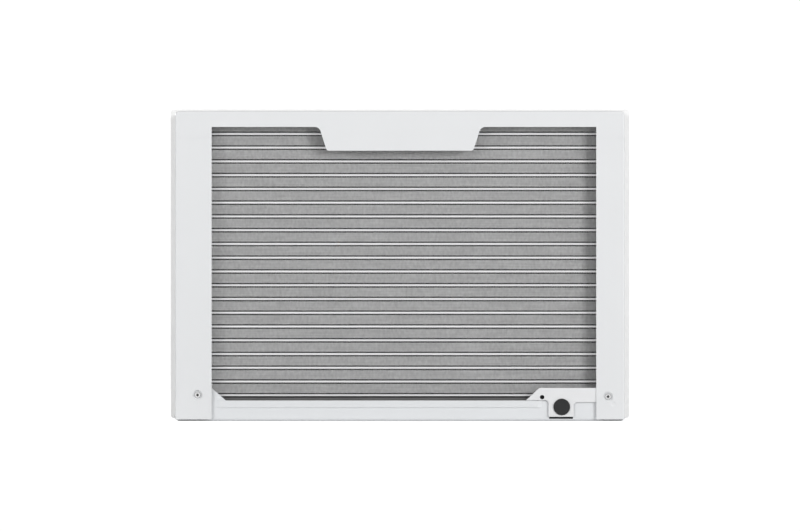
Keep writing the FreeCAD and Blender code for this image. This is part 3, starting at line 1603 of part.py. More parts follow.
def pipework():
    """Copper lines of the sealed circuit, and the drier ahead of the capillary."""
    bend = d.pipe_bend
    x, y = COMPRESSOR_X, COMPRESSOR_Y
    rise = COMPRESSOR_TOP + d.discharge_rise
    port = CORE_MIDDLE - d.header_radius
    start = COMPRESSOR_TOP + 0.1
    discharge = [(x, y, start), (x, y, rise), (HEADER_X, y, rise), (HEADER_X, port, rise)]
    keep("discharge_pipe", shaped("discharge_pipe", tube(discharge, d.discharge_radius, bend)))

    run_y = BULKHEAD + d.gauge + d.pipe_run_gap
    over = ACCUMULATOR_FOOT + d.accumulator_height + d.suction_loop_rise
    suction = [
        (EVAPORATOR_RIGHT + 9.1, ROW_BACK, SUCTION_Z),
        (SUCTION_X, ROW_BACK, SUCTION_Z),
        (SUCTION_X, run_y, SUCTION_Z),
        (SUCTION_X, run_y, over),
        (ACCUMULATOR_X, run_y, over),
        (ACCUMULATOR_X, ACCUMULATOR_Y, over),
        (ACCUMULATOR_X, ACCUMULATOR_Y, ACCUMULATOR_FOOT + d.accumulator_height + 0.1),
    ]

    entry = ACCUMULATOR_FOOT - d.entry_drop
    away = at(x - ACCUMULATOR_X, y - ACCUMULATOR_Y, 0)
    reach = away.Length - float(d.compressor_radius) - 0.1
    away.normalize()
    low = at(ACCUMULATOR_X, ACCUMULATOR_Y, entry)
    elbow = [
        at(ACCUMULATOR_X, ACCUMULATOR_Y, ACCUMULATOR_FOOT - 0.1),
        low,
        low + away * reach,
    ]
    lines = [tube(suction, d.suction_radius, bend), tube(elbow, d.suction_radius, bend)]
    keep("suction_pipe", shaped("suction_pipe", Part.makeCompound(lines)))

    drier_back = port - d.drier_gap
    drier_front = drier_back - d.drier_length
    drier = Piece("filter_drier")
    neck, fat = d.liquid_radius, d.drier_radius
    drier.turn(
        [
            (0, drier_front - d.drier_neck),
            (neck, drier_front - d.drier_neck),
            (fat, drier_front),
            (fat, drier_back),
            (neck, drier_back + d.drier_neck),
            (neck, port),
            (0, port),
        ],
        HEADER_X,
        LIQUID_Z,
    )
    drier.keep()

    turn_y = BULKHEAD - d.capillary_turn
    side = SUCTION_X + d.capillary_side
    capillary = [
        (HEADER_X, drier_front - 8.1, LIQUID_Z),
        (HEADER_X, turn_y, LIQUID_Z),
        (side, turn_y, LIQUID_Z),
        (side, ROW_FRONT, LIQUID_Z),
        (EVAPORATOR_RIGHT + 9.1, ROW_FRONT, LIQUID_Z),
    ]
    fine = tube(capillary, d.capillary_radius, bend)
    keep("capillary_tube", shaped("capillary_tube", fine))


# Front panel


DUCT_BACK = PANEL_BACK - 0.5
FILTER_Y = FACE + d.filter_setback
CONTROL_LEFT = OUTLET_RIGHT + d.control_margin
CONTROL_RIGHT = HALF_PANEL - d.control_margin
CONTROL_BOTTOM = d.intake_bottom + 4
CONTROL_TOP = OUTLET_TOP - 2
BLADE_Y = FACE + d.blade_pivot_depth
VANE_Y = FACE + d.vane_pivot_depth
BLADE_RISE = d.outlet_height / 3
VANE_SPACING = (OUTLET_RIGHT - OUTLET_LEFT) / d.vane_count


def blade_height(number):
    return OUTLET_MIDDLE + BLADE_RISE * (number - 1)


def vane_x(number):
    return OUTLET_LEFT + VANE_SPACING * (number + 0.5)


def front_panel():
    """Moulded room-side panel: a shell with the outlet duct, the intake chamber and the lugs."""
    panel = Piece("front_panel")
    low = d.fit_gap
    outline = rectangle(-HALF_PANEL, low, HALF_PANEL, d.panel_height)
    panel.pad("front", FACE, d.panel_depth, 1, [outline])
    corners = [(x, z) for x in (-HALF_PANEL, HALF_PANEL) for z in (low, d.panel_height)]
    panel.round(d.panel_corner, at_corners("y", corners))
    panel.round(d.panel_edge, in_plane("y", FACE))
    panel.shell(d.panel_wall, ("y", PANEL_BACK))

    # A lip at the back meets the cabinet's front edge
    skin = d.panel_wall / 2
    rim = rectangle(skin - HALF_PANEL, low + skin, HALF_PANEL - skin, d.panel_height - skin)
    inner = HALF_INSIDE - 1
    hole = rectangle(-inner, d.gauge + 1, inner, INSIDE_TOP - 1)
    panel.pad("front", PANEL_BACK, d.panel_wall, -1, [rim, hole])

    left, right = OUTLET_LEFT, OUTLET_RIGHT
    wall = d.duct_wall
    duct_outer = rectangle(left - wall, OUTLET_BOTTOM - wall, right + wall, OUTLET_TOP + wall)
    duct_inner = rectangle(left, OUTLET_BOTTOM, right, OUTLET_TOP)
    front = FACE + d.panel_wall / 2
    panel.pad("front", front, DUCT_BACK - front, 1, [duct_outer, duct_inner])

    # Shelves above and below the intake guide the filter
    shelf_back = FILTER_Y + d.filter_thickness + 2
    reach = shelf_back - front
    gap = d.fit_gap
    top_shelf = rectangle(left - 12, INTAKE_TOP + gap, right + wall, INTAKE_TOP + gap + 1.6)
    low_shelf = rectangle(
        left - 12, d.intake_bottom - gap - 1.6, right + wall, d.intake_bottom - gap
    )
    end_wall = rectangle(right, d.intake_bottom - gap - 1.6, right + wall, INTAKE_TOP + gap + 1.6)
    panel.pad("front", front, reach, 1, [top_shelf])
    panel.pad("front", front, reach, 1, [low_shelf])
    panel.pad("front", front, reach, 1, [end_wall])

    # Lugs reach inside the cabinet's sides
    lug_outer = HALF_INSIDE - d.fit_gap
    for sign in (-1, 1):
        sides = (sign * lug_outer, sign * (lug_outer - 2.2))
        low_x, high_x = sides if sign < 0 else (sides[1], sides[0])
        lugs = [rectangle(low_x, z, high_x, z + 22) for z in (70, 200)]
        panel.pad("front", PANEL_BACK - d.panel_wall, d.panel_wall + 12, 1, lugs)

    intake = rectangle(left, d.intake_bottom, right, INTAKE_TOP)
    control = rectangle(CONTROL_LEFT, CONTROL_BOTTOM, CONTROL_RIGHT, CONTROL_TOP)
    panel.pocket("front", FACE - 1, d.panel_wall + 1.1, 1, [duct_inner, intake, control])

    slot = rectangle(
        FILTER_Y - d.fit_gap,
        d.intake_bottom - d.fit_gap / 2,
        FILTER_Y + d.filter_thickness + d.fit_gap,
        INTAKE_TOP + d.fit_gap / 2,
    )
    panel.pocket("side", -HALF_PANEL - 1, d.panel_wall + 2, 1, [slot])
    bushing = [(BUSHING_Y, d.bushing_height, d.bushing_radius - 2)]
    panel.pocket("side", HALF_PANEL + 1, d.panel_wall + 2, -1, circles=bushing)

    pivot = d.pivot_radius + d.pivot_clearance
    blade_pivots = [(BLADE_Y, blade_height(k), pivot) for k in range(3)]
    start = left - wall - 0.5
    panel.pocket("side", start, right - left + 2 * wall + 1, 1, circles=blade_pivots)
    vanes = int(float(d.vane_count))
    vane_pivots = [(vane_x(k), VANE_Y, pivot) for k in range(vanes)]
    height = d.outlet_height + 2 * wall + 1
    panel.pocket("top", OUTLET_BOTTOM - wall - 0.5, height, 1, circles=vane_pivots)
    panel.keep()


BUSHING_Y = PANEL_BACK - d.bushing_setback


def cord_bushing():
    """Grommet in the panel's side, where the supply cord would leave."""
    bushing = Piece("cord_bushing")
    place = (BUSHING_Y, d.bushing_height)
    inside = HALF_PANEL - d.panel_wall - 0.05
    ring = [(*place, d.bushing_radius - 2.05)]
    bushing.pad("side", HALF_PANEL, d.panel_wall + 0.1, -1, circles=ring)
    bushing.pad("side", inside, 2.5, -1, circles=[(*place, d.bushing_radius)])
    bore = [(*place, d.bushing_bore)]
    bushing.pocket("side", HALF_PANEL + 1, d.panel_wall + 8, -1, circles=bore)
    bushing.keep()


def intake_grille():
    """Framed grille of sloping slats in front of the filter."""
    grille = Piece("intake_grille")
    gap = d.fit_gap
    left, right = OUTLET_LEFT + gap, OUTLET_RIGHT - gap
    low, high = d.intake_bottom + gap, INTAKE_TOP - gap
    face = FACE + d.grille_recess
    edge = d.grille_frame
    outer = rectangle(left, low, right, high)
    inner = rectangle(left + edge, low + edge, right - edge, high - edge)
    grille.pad("front", face, d.grille_depth, 1, [outer, inner])
    corners = in_plane("y", face)
    grille.round(0.8, corners)
    clear = high - low - 2 * edge
    pitch = clear / d.slat_count
    base = low + edge + (pitch - d.slat_rise - d.slat_thickness) / 2
    deep = face + d.grille_depth - 1
    slat = [
        (face + 0.6, base),
        (deep, base + d.slat_rise),
        (deep, base + d.slat_rise + d.slat_thickness),
        (face + 0.6, base + d.slat_thickness),
    ]
    start = left + edge / 2
    slats = grille.pad("side", start, right - left - edge, 1, [slat])
    grille.repeat([slats], "z", pitch, d.slat_count)
    third = (right - left) / 3
    rib = rectangle(left + third - 1, low + edge / 2, left + third + 1, high - edge / 2)
    ribs = grille.pad("front", face + d.grille_depth - 3, 3, 1, [rib])
    grille.repeat([ribs], "x", third, Size("2"))
    grille.keep()


def filter_pieces():
    """Slide-out filter: a ribbed frame with a woven sheet behind it."""
    frame = Piece("filter_frame")
    gap = d.fit_gap
    left = d.panel_wall + 0.4 - HALF_PANEL
    right = OUTLET_RIGHT - 1
    low, high = d.intake_bottom + gap, INTAKE_TOP - gap
    border = d.filter_border
    y = FILTER_Y
    frame.pad("front", y, d.filter_thickness, 1, [rectangle(left, low, right, high)])
    cells = int(float(d.filter_cells))
    width = (right - left - border * (cells + 1)) / cells
    height = (high - low - 4 * border) / 3
    windows = []
    for column in range(cells):
        start = left + border + column * (width + border)
        for row in range(3):
            base = low + border + row * (height + border)
            windows.append(rectangle(start, base, start + width, base + height))
    sheet_front = y + d.filter_thickness - d.mesh_thickness
    frame.pocket("front", y - 1, d.filter_thickness + 2, 1, windows)
    recess = rectangle(left + border / 2, low + border / 2, right - border / 2, high - border / 2)
    frame.pocket("front", y + d.filter_thickness, d.mesh_thickness, -1, [recess])
    # The outer end fills the slot in the panel's side, flush with it
    cap = rectangle(-HALF_PANEL, low + 0.2, left + 1, high - 0.2)
    frame.pad("front", y, d.filter_thickness, 1, [cap])
    middle = (low + high) / 2
    notch = rectangle(-HALF_PANEL - 1, middle - 14, 1.4 - HALF_PANEL, middle + 14)
    frame.pocket("front", y - 1, d.filter_thickness / 2 + 1, 1, [notch])
    frame.keep()
    inset = border / 2 + 0.2
    mesh = block(
        "filter_mesh",
        (left + inset, sheet_front, low + inset),
        (right - inset, y + d.filter_thickness, high - inset),
    )
    keep("filter_mesh", mesh)


def deflector_blades():
    """Three level blades that tip together, tied by a link at their right-hand ends."""
    left = OUTLET_LEFT + 1.5
    right = OUTLET_RIGHT - d.blade_end_gap
    half = d.blade_chord / 2
    thin = d.blade_thickness
    for number in range(3):
        z = blade_height(number)
        blade = Piece(f"deflector_blade_{number + 1}")
        section = [
            (BLADE_Y - half, z - thin * 0.25),
            (BLADE_Y, z - thin / 2),
            (BLADE_Y + half, z - thin * 0.3),
            (BLADE_Y + half, z + thin * 0.3),
            (BLADE_Y, z + thin / 2),
            (BLADE_Y - half, z + thin * 0.25),
        ]
        blade.pad("side", left, right - left, 1, [section])
        if number == 1:
            middle = (left + right) / 2
            tab = rectangle(middle - 7, BLADE_Y - half - 2.2, middle + 7, BLADE_Y - half + 2)
            blade.pad("top", z - thin * 0.25, thin * 0.5, 1, [tab])
        pin = [(BLADE_Y, z, d.pivot_radius)]
        pin_left = OUTLET_LEFT - d.duct_wall + 0.3
        pin_right = OUTLET_RIGHT + d.duct_wall - 0.3
        blade.pad("side", pin_left, left - pin_left + 1, 1, circles=pin)
        blade.pad("side", pin_right, pin_right - right + 1, -1, circles=pin)
        crank = [(BLADE_Y + d.blade_crank, z, d.link_pin_radius - 0.15)]
        blade.pad("side", right - 0.5, 0.5 + d.link_thickness + 1.4, 1, circles=crank)
        blade.keep()
    link = Piece("deflector_link")
    y = BLADE_Y + d.blade_crank
    half_bar = d.link_half_width
    low, high = blade_height(0) - 4, blade_height(2) + 4
    start = right + 0.7
    bar = rectangle(y - half_bar, low, y + half_bar, high)
    link.pad("side", start, d.link_thickness, 1, [bar])
    holes = [(y, blade_height(k), d.link_pin_radius) for k in range(3)]
    link.pocket("side", start - 1, d.link_thickness + 2, 1, circles=holes)
    link.keep()


def swing_vanes():
    """Upright vanes behind the blades that turn together, tied by a bar along their feet."""
    wall = d.duct_wall
    low, high = OUTLET_BOTTOM + d.vane_foot_gap, OUTLET_TOP - d.vane_top_gap
    half = d.vane_thickness / 2
    crank_y = VANE_Y + d.vane_crank
    count = int(float(d.vane_count))
    for number in range(count):
        x = vane_x(number)
        vane = Piece(f"swing_vane_{number + 1}")
        section = [
            (x - half * 0.5, VANE_Y - d.vane_front),
            (x + half * 0.5, VANE_Y - d.vane_front),
            (x + half, VANE_Y),
            (x + half * 0.6, VANE_Y + d.vane_back),
            (x - half * 0.6, VANE_Y + d.vane_back),
            (x - half, VANE_Y),
        ]
        vane.pad("top", low, high - low, 1, [section])
        pin = [(x, VANE_Y, d.pivot_radius)]
        bottom = OUTLET_BOTTOM - wall + 0.3
        top = OUTLET_TOP + wall - 0.3
        vane.pad("top", bottom, low - bottom + 2, 1, circles=pin)
        vane.pad("top", top, top - high + 2, -1, circles=pin)
        crank = [(x, crank_y, d.link_pin_radius)]
        vane.pad("top", low + 1, 1 + 8 - 1.5, -1, circles=crank)
        vane.keep()
    bar = Piece("vane_tie_bar")
    base = OUTLET_BOTTOM + 3
    outline = rectangle(vane_x(0) - 5, crank_y - 3, vane_x(count - 1) + 5, crank_y + 3)
    bar.pad("top", base, d.link_thickness, 1, [outline])
    holes = [(vane_x(k), crank_y, d.link_pin_radius + 0.2) for k in range(count)]
    bar.pocket("top", base - 1, d.link_thickness + 2, 1, circles=holes)
    bar.keep()


# Controls


CONTROL_FACE = FACE + d.fascia_inset
CONTROL_BACK = FACE + d.panel_wall + 2
KNOB_BACK = CONTROL_FACE - d.fit_gap
KNOB_FRONT = -REAR
BOX_FRONT = PANEL_BACK + 2


def control_plate():
    """Fascia behind the two knobs, with a flange that seats behind the panel."""
    plate = Piece("control_plate")
    gap = d.fit_gap
    face = rectangle(
        CONTROL_LEFT + gap, CONTROL_BOTTOM + gap, CONTROL_RIGHT - gap, CONTROL_TOP - gap
    )
    plate.pad("front", CONTROL_FACE, CONTROL_BACK - CONTROL_FACE, 1, [face])
    flange = rectangle(
        CONTROL_LEFT - 3, CONTROL_BOTTOM - 3, CONTROL_RIGHT + 3, CONTROL_TOP + 3
    )
    seat = FACE + d.panel_wall + 0.05
    plate.pad("front", seat, CONTROL_BACK - seat, 1, [flange])
    plate.round(0.6, in_plane("y", CONTROL_FACE))
    holes = [
        (CONTROL_X, height, d.knob_shaft_radius + 3)
        for height in (d.mode_height, d.temperature_height)
    ]
    plate.pocket("front", CONTROL_FACE - 1, 6, 1, circles=holes)
    plate.keep()


def knob(label, height):
    """Turned knob with a skirt and a raised grip across its face."""
    made = Piece(label)
    radius = d.knob_radius
    skirt = KNOB_BACK - d.knob_skirt
    body_front = KNOB_FRONT + 4
    bore = d.knob_shaft_radius + d.shaft_clearance
    made.turn(
        [
            (0, KNOB_BACK - 8),
            (bore, KNOB_BACK - 8),
            (bore, KNOB_BACK),
            (radius, KNOB_BACK),
            (radius, skirt),
            (radius - 2.5, skirt - 1),
            (radius - 4, body_front),
            (0, body_front),
        ],
        CONTROL_X,
        height,
    )
    made.round(d.knob_edge, in_plane("y", body_front))
    grip_half = d.grip_half_width
    reach = radius - d.grip_inset
    grip = rectangle(CONTROL_X - grip_half, height - reach, CONTROL_X + grip_half, height + reach)
    made.pad("front", body_front + 1, 5, -1, [grip])
    made.round(1.5, in_plane("y", KNOB_FRONT))
    made.keep()


def knob_shaft(label, height):
    start = KNOB_BACK - 7
    length = BOX_FRONT + 12 - start
    keep(label, rod(label, (CONTROL_X, start, height), length, d.knob_shaft_radius, "y"))


def control_box():
    """Steel box behind the fascia, open at the back, that carries the switches and the capacitor."""
    box = Piece("control_box")
    left = OUTLET_RIGHT + d.plenum_wall + 5
    right = HALF_INSIDE - d.box_side_gap
    low, high = d.box_bottom, INSIDE_TOP - 6
    box.pad("front", BOX_FRONT, d.box_depth, 1, [rectangle(left, low, right, high)])
    box.shell(1, ("y", BOX_FRONT + d.box_depth))
    holes = [
        (CONTROL_X, height, 5.4) for height in (d.mode_height, d.temperature_height)
    ]
    box.pocket("front", BOX_FRONT - 1, 4, 1, circles=holes)
    box.pocket("top", low - 1, 3, 1, circles=[(SENSOR_X, SENSOR_Y, 2.4)])
    box.keep()

    inside = BOX_FRONT + 1.05
    for label, height, half_x in (
        ("mode_switch", d.mode_height, d.switch_size / 2),
        ("thermostat", d.temperature_height, d.thermostat_length / 2),
    ):
        half_z = d.switch_size / 2
        low_corner = (CONTROL_X - half_x, inside, height - half_z)
        high_corner = (CONTROL_X + half_x, inside + 26, height + half_z)
        case = block(f"{label}_case", low_corner, high_corner)
        bush = rod(f"{label}_bush", (CONTROL_X, BOX_FRONT - 7, height), 9, 5.2, "y")
        bore = rod(
            f"{label}_bore",
            (CONTROL_X, BOX_FRONT - 8, height),
            8 + 12.5,
            d.knob_shaft_radius + d.shaft_clearance,
            "y",
        )
        keep(label, cut(label, joined(f"{label}_solid", [case, bush]), bore))

    can = Piece("run_capacitor")
    y = BOX_FRONT + d.box_depth - d.capacitor_radius - 12
    base = high - 6 - d.capacitor_height
    can.pad("top", base, d.capacitor_height, 1, circles=[(CONTROL_X, y, d.capacitor_radius)])
    can.round(2, lambda e: e.Curve.TypeId == "Part::GeomCircle")
    can.keep()


def sensor_tube():
    """Capillary from the thermostat to its bulb in front of the evaporator."""
    bulb_y = EVAPORATOR_FRONT - 3.2
    low = d.box_bottom - 14
    z = low - 20
    path = [
        (SENSOR_X, SENSOR_Y, d.temperature_height - d.switch_size / 2 - 0.1),
        (SENSOR_X, SENSOR_Y, low),
        (SENSOR_X, bulb_y, low),
        (SENSOR_X, bulb_y, z),
        (OUTLET_RIGHT - 30, bulb_y, z),
    ]
    line = tube(path, 1.1, 6)
    bulb = Part.makeCylinder(2.4, 70, at(OUTLET_RIGHT - 100, bulb_y, z), Vector(1, 0, 0))
    keep("thermostat_sensor", shaped("thermostat_sensor", line.fuse(bulb)))


# Where the thermostat's capillary leaves its case and passes through the box's floor
SENSOR_X = CONTROL_X - d.thermostat_length / 2 + d.sensor_inset
SENSOR_Y = BOX_FRONT + d.sensor_setback


def build():
    cabinet_wrap()
    base_pan()
    rear_corner_brackets()
    drain_plate()
    drain_plug()
    cabinet_screws()
    drain_plate_screw()
    tubes = condenser_tubes()
    condenser_fins()
    condenser_headers(tubes)
    condenser_rails()
    fan_shroud()
    condenser_fan()
    blower_wheel()
    motor()
    motor_bracket()
    blower_scroll()
    scroll_orifice()
    bulkhead()
    evaporator()
    drip_tray()
    compressor()
    pipework()
    front_panel()
    cord_bushing()
    intake_grille()
    filter_pieces()
    deflector_blades()
    swing_vanes()
    control_plate()
    knob("mode_knob", d.mode_height)
    knob("temperature_knob", d.temperature_height)
    knob_shaft("mode_shaft", d.mode_height)
    knob_shaft("temperature_shaft", d.temperature_height)
    control_box()
    sensor_tube()


def write():
    doc.recompute()
    failed = [o.Name for o in doc.Objects if {"Invalid", "Error"} & set(o.State)]
    if failed:
        raise RuntimeError(f"these objects failed: {failed}")
    for label, thing in pieces.items():
        if thing.Shape.isNull() or not thing.Shape.isValid() or not thing.Shape.Solids:
            raise RuntimeError(f"{label} has no valid solid")
    os.makedirs("parts", exist_ok=True)
    for label, thing in pieces.items():
        thing.Shape.exportStep(f"parts/{label}.step")


build()
write()
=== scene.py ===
import math

import bmesh
import bpy
from mathutils import Matrix, Vector


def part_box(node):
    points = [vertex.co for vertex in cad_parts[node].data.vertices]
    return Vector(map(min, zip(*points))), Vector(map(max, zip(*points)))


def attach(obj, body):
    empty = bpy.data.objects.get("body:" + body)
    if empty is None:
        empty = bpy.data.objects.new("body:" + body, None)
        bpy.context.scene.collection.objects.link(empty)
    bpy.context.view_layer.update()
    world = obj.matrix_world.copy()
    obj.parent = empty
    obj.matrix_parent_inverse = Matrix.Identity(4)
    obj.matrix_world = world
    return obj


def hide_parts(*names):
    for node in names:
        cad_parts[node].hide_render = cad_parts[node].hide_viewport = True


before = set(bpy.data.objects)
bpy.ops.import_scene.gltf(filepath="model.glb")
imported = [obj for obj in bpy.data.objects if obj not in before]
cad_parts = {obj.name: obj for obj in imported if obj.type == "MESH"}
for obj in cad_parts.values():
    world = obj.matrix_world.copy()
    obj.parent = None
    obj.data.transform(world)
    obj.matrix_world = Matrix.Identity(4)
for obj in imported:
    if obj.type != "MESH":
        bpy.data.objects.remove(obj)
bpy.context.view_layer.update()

# The studio: a camera that faces the outdoor side square on through a very long lens, a white
# sweep all round, and large soft lamps. The unit stands on a plain pale floor.

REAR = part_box("cabinet_wrap")[1][1]
FIELD_WIDTH = 0.772
EYE_HEIGHT = 0.150
LENS = 900
SENSOR_WIDTH = 36
CAMERA_REACH = 100
FLOOR_HALF = 5
FLOOR_BOUNCE = (0.85, 0.85, 0.85)
FLOOR_GLOW = (0.5, 0.5, 0.5)
FLOOR_SEEN = ((0.92, 0.92, 0.92), (0.94, 0.94, 0.94))
FLOOR_DRIFT = 3
SKY_LIGHT = 0.38
SKY_SEEN = 1.05
LAMP_AIM = Vector((0, 0, 0.15))
ROOM_SHARE = 0.8

scene = bpy.context.scene
camera_data = bpy.data.cameras.new("view_camera")
camera_data.lens = LENS
camera_data.sensor_width = SENSOR_WIDTH
camera_data.clip_end = CAMERA_REACH
camera = bpy.data.objects.new("view_camera", camera_data)
camera.location = (0, REAR + FIELD_WIDTH * LENS / SENSOR_WIDTH, EYE_HEIGHT)
camera.rotation_euler = (math.pi / 2, 0, math.pi)
scene.collection.objects.link(camera)
scene.camera = camera
scene.view_settings.view_transform = "Standard"

world = bpy.data.worlds.new("white_sweep")
world.use_nodes = True
sky = world.node_tree.nodes["Background"]
sky.inputs["Color"].default_value = (1, 1, 1, 1)
ray = world.node_tree.nodes.new("ShaderNodeLightPath")
glow = world.node_tree.nodes.new("ShaderNodeMapRange")
glow.inputs["To Min"].default_value = SKY_LIGHT
glow.inputs["To Max"].default_value = SKY_SEEN
world.node_tree.links.new(ray.outputs["Is Camera Ray"], glow.inputs["Value"])
world.node_tree.links.new(glow.outputs["Result"], sky.inputs["Strength"])
scene.world = world


def softbox(name, place, size, watts):
    """A square area lamp, aimed at the middle of the unit."""
    lamp = bpy.data.lights.new(name, "AREA")
    lamp.size = size
    lamp.energy = watts
    holder = bpy.data.objects.new(name, lamp)
    holder.location = place
    holder.rotation_euler = (LAMP_AIM - Vector(place)).to_track_quat("-Z", "Y").to_euler()
    scene.collection.objects.link(holder)


for side, facing, share in (("outdoor", 1, 1), ("room", -1, ROOM_SHARE)):
    for use, (x, y, z), size, watts in (
        ("overhead", (0, 2.6, 2.6), 2.0, 8),
        ("key", (-3.6, 4.0, 1.4), 1.6, 124),
        ("fill", (3.4, 3.8, 1.2), 1.6, 71),
    ):
        softbox(f"{side}_{use}", (x * facing, y * facing, z), size, watts * share)


class Signal:
    """A shader socket that takes part in sums, each of which adds its own Math node."""

    def __init__(self, finish, socket):
        self.finish = finish
        self.socket = socket

    def work_out(self, operation, first, second):
        return self.finish.add("ShaderNodeMath", {"operation": operation}, {0: first, 1: second})

    def __add__(self, other):
        return self.work_out("ADD", self, other)

    def __sub__(self, other):
        return self.work_out("SUBTRACT", self, other)

    def __mul__(self, other):
        return self.work_out("MULTIPLY", self, other)


class Finish:
    """A surface finish: a Principled shader, and the nodes that vary it over the piece."""

    # Noise keeps mostly between these two values.
    NOISE_LOW = 0.3
    NOISE_HIGH = 0.7

    def __init__(self, name, roughness, metallic=0.0, specular=0.5):
        self.material = bpy.data.materials.new(name)
        self.material.use_nodes = True
        self.tree = self.material.node_tree
        self.shader = self.tree.nodes["Principled BSDF"]
        self.shader.inputs["Roughness"].default_value = roughness
        self.shader.inputs["Metallic"].default_value = metallic
        self.shader.inputs["Specular IOR Level"].default_value = specular
        self.place = self.add("ShaderNodeTexCoord", output="Object")

    def feed(self, socket, value):
        if isinstance(value, Signal):
            self.tree.links.new(value.socket, socket)
        else:
            socket.default_value = value

    def add(self, kind, settings=(), inputs=(), output=0):
        """Adds a node and gives back one of its outputs."""
        node = self.tree.nodes.new(kind)
        for name, value in dict(settings).items():
            setattr(node, name, value)
        for name, value in dict(inputs).items():
            self.feed(node.inputs[name], value)
        return Signal(self, node.outputs[output])

    def cloud(self, scale, detail=2.0, stretch=None):
        """Noise from 0 to 1 with that many lumps a metre, drawn out where stretch says."""
        place = self.place
        if stretch:
            place = self.add("ShaderNodeMapping", inputs={"Vector": place, "Scale": stretch})
        return self.add(
            "ShaderNodeTexNoise",
            inputs={"Vector": place, "Scale": scale, "Detail": detail},
        )

    def between(self, factor, low, high):
        """Spreads noise over the values from low to high."""
        noise = {"Value": factor, "From Min": self.NOISE_LOW, "From Max": self.NOISE_HIGH}
        return self.add("ShaderNodeMapRange", inputs={**noise, "To Min": low, "To Max": high})

    def tint(self, factor, first, second):
        """Goes from the first colour to the second as the factor goes from 0 to 1."""
        first, second = (c if isinstance(c, Signal) else (*c, 1) for c in (first, second))
        return self.add(
            "ShaderNodeMix",
            {"data_type": "RGBA"},
            {"Factor": factor, "A": first, "B": second},
            output="Result",
        )

    def set(self, socket, value):
        self.feed(self.shader.inputs[socket], value)

    def relief(self, height, depth):
        normal = self.add("ShaderNodeBump", inputs={"Height": height, "Distance": depth})
        self.set("Normal", normal)


def shade(colour, factor):
    return tuple(channel * factor for channel in colour)


floor_mesh = bpy.data.meshes.new("studio_floor")
floor_shape = bmesh.new()
bmesh.ops.create_grid(floor_shape, x_segments=1, y_segments=1, size=FLOOR_HALF)
floor_shape.to_mesh(floor_mesh)
floor_shape.free()
studio_floor = bpy.data.objects.new("studio_floor", floor_mesh)
scene.collection.objects.link(studio_floor)
pale_floor = Finish("pale_floor", roughness=0.6, specular=0.2)
seen = pale_floor.add("ShaderNodeLightPath", output="Is Camera Ray")
paint_drift = pale_floor.tint(pale_floor.cloud(FLOOR_DRIFT), *FLOOR_SEEN)
pale_floor.set("Base Color", pale_floor.tint(seen, FLOOR_BOUNCE, paint_drift))
pale_floor.set("Emission Color", pale_floor.tint(seen, (0, 0, 0), FLOOR_GLOW))
pale_floor.set("Emission Strength", 1.0)
floor_mesh.materials.append(pale_floor.material)


# The cabinet: one sheet of pre-painted steel folded over the top and down both sides, with its
# rear flange turned in round the condenser. The paint is a smooth white with a faint orange peel.

CABINET_WHITE = (0.755, 0.765, 0.775)
PAINT_DRIFT = 0.015
PAINT_GLOSSIER = 0.04
PAINT_FLATTER = 0.05
PAINT_PATCHES = 9
SHINE_PATCHES = 40
PEEL_LUMPS = 420
SHEET_WAVES = 7
WAVE_SHARE = 3
PEEL_DEPTH = 0.00002


def dress(finish, *nodes):
    """Puts a finish on pieces that keep their own shape."""
    for name in nodes:
        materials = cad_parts[name].data.materials
        materials.clear()
        materials.append(finish.material)


def vary_colour(finish, factor, colour, darker, lighter):
    """Lets a colour drift between a darker and a lighter shade of itself."""
    shades = shade(colour, 1 - darker), shade(colour, 1 + lighter)
    finish.set("Base Color", finish.tint(factor, *shades))


def vary_shine(finish, factor, roughness, glossier, flatter):
    """Lets the roughness drift a little below and above its mean."""
    finish.set("Roughness", finish.between(factor, roughness - glossier, roughness + flatter))


def painted_steel(name, colour, roughness=0.36):
    """Paint with slow patches of tone and shine, and orange peel over wide, flat waves."""
    paint = Finish(name, roughness)
    vary_colour(paint, paint.cloud(PAINT_PATCHES, detail=3), colour, PAINT_DRIFT, PAINT_DRIFT)
    vary_shine(paint, paint.cloud(SHINE_PATCHES), roughness, PAINT_GLOSSIER, PAINT_FLATTER)
    waves = paint.cloud(SHEET_WAVES, detail=0) * WAVE_SHARE
    paint.relief(paint.cloud(PEEL_LUMPS, detail=1) + waves, PEEL_DEPTH)
    return paint


cabinet_paint = painted_steel("cabinet_paint", CABINET_WHITE)
dress(cabinet_paint, "cabinet_wrap")


# The base pan and the plates in its rear corners: the same coated steel, pressed in one hit, with
# a hemmed rear edge. The coat is a touch flatter than the cabinet's.

PAN_WHITE = (0.74, 0.755, 0.77)

pan_paint = painted_steel("pan_paint", PAN_WHITE, roughness=0.42)
dress(pan_paint, "base_pan", "rear_corner_brackets")


# The drain plate is moulded in white plastic, held by one small blackened screw. Its plug is
# black rubber with a fine moulded grain.

PLATE_WHITE = (0.77, 0.775, 0.785)
RUBBER_BLACK = (0.011, 0.0113, 0.0125)
MOULD_DRIFT = 0.02
MOULD_GLOSSIER = 0.05
MOULD_FLATTER = 0.06
MOULD_PATCHES = 14
GLOSS_PATCHES = 60


def moulded_plastic(name, colour, roughness=0.45, grain=1800, depth=0.00002):
    """Moulded stuff with an even tone, patchy gloss and a grain of that many lumps a metre."""
    plastic = Finish(name, roughness)
    vary_colour(plastic, plastic.cloud(MOULD_PATCHES), colour, MOULD_DRIFT, MOULD_DRIFT)
    vary_shine(plastic, plastic.cloud(GLOSS_PATCHES), roughness, MOULD_GLOSSIER, MOULD_FLATTER)
    plastic.relief(plastic.cloud(grain), depth)
    return plastic


dress(moulded_plastic("drain_plate_plastic", PLATE_WHITE, 0.4), "drain_plate")
rubber = moulded_plastic("moulded_rubber", RUBBER_BLACK, 0.62, grain=900, depth=0.0002)
dress(rubber, "drain_plug", "cord_bushing", "compressor_grommets")


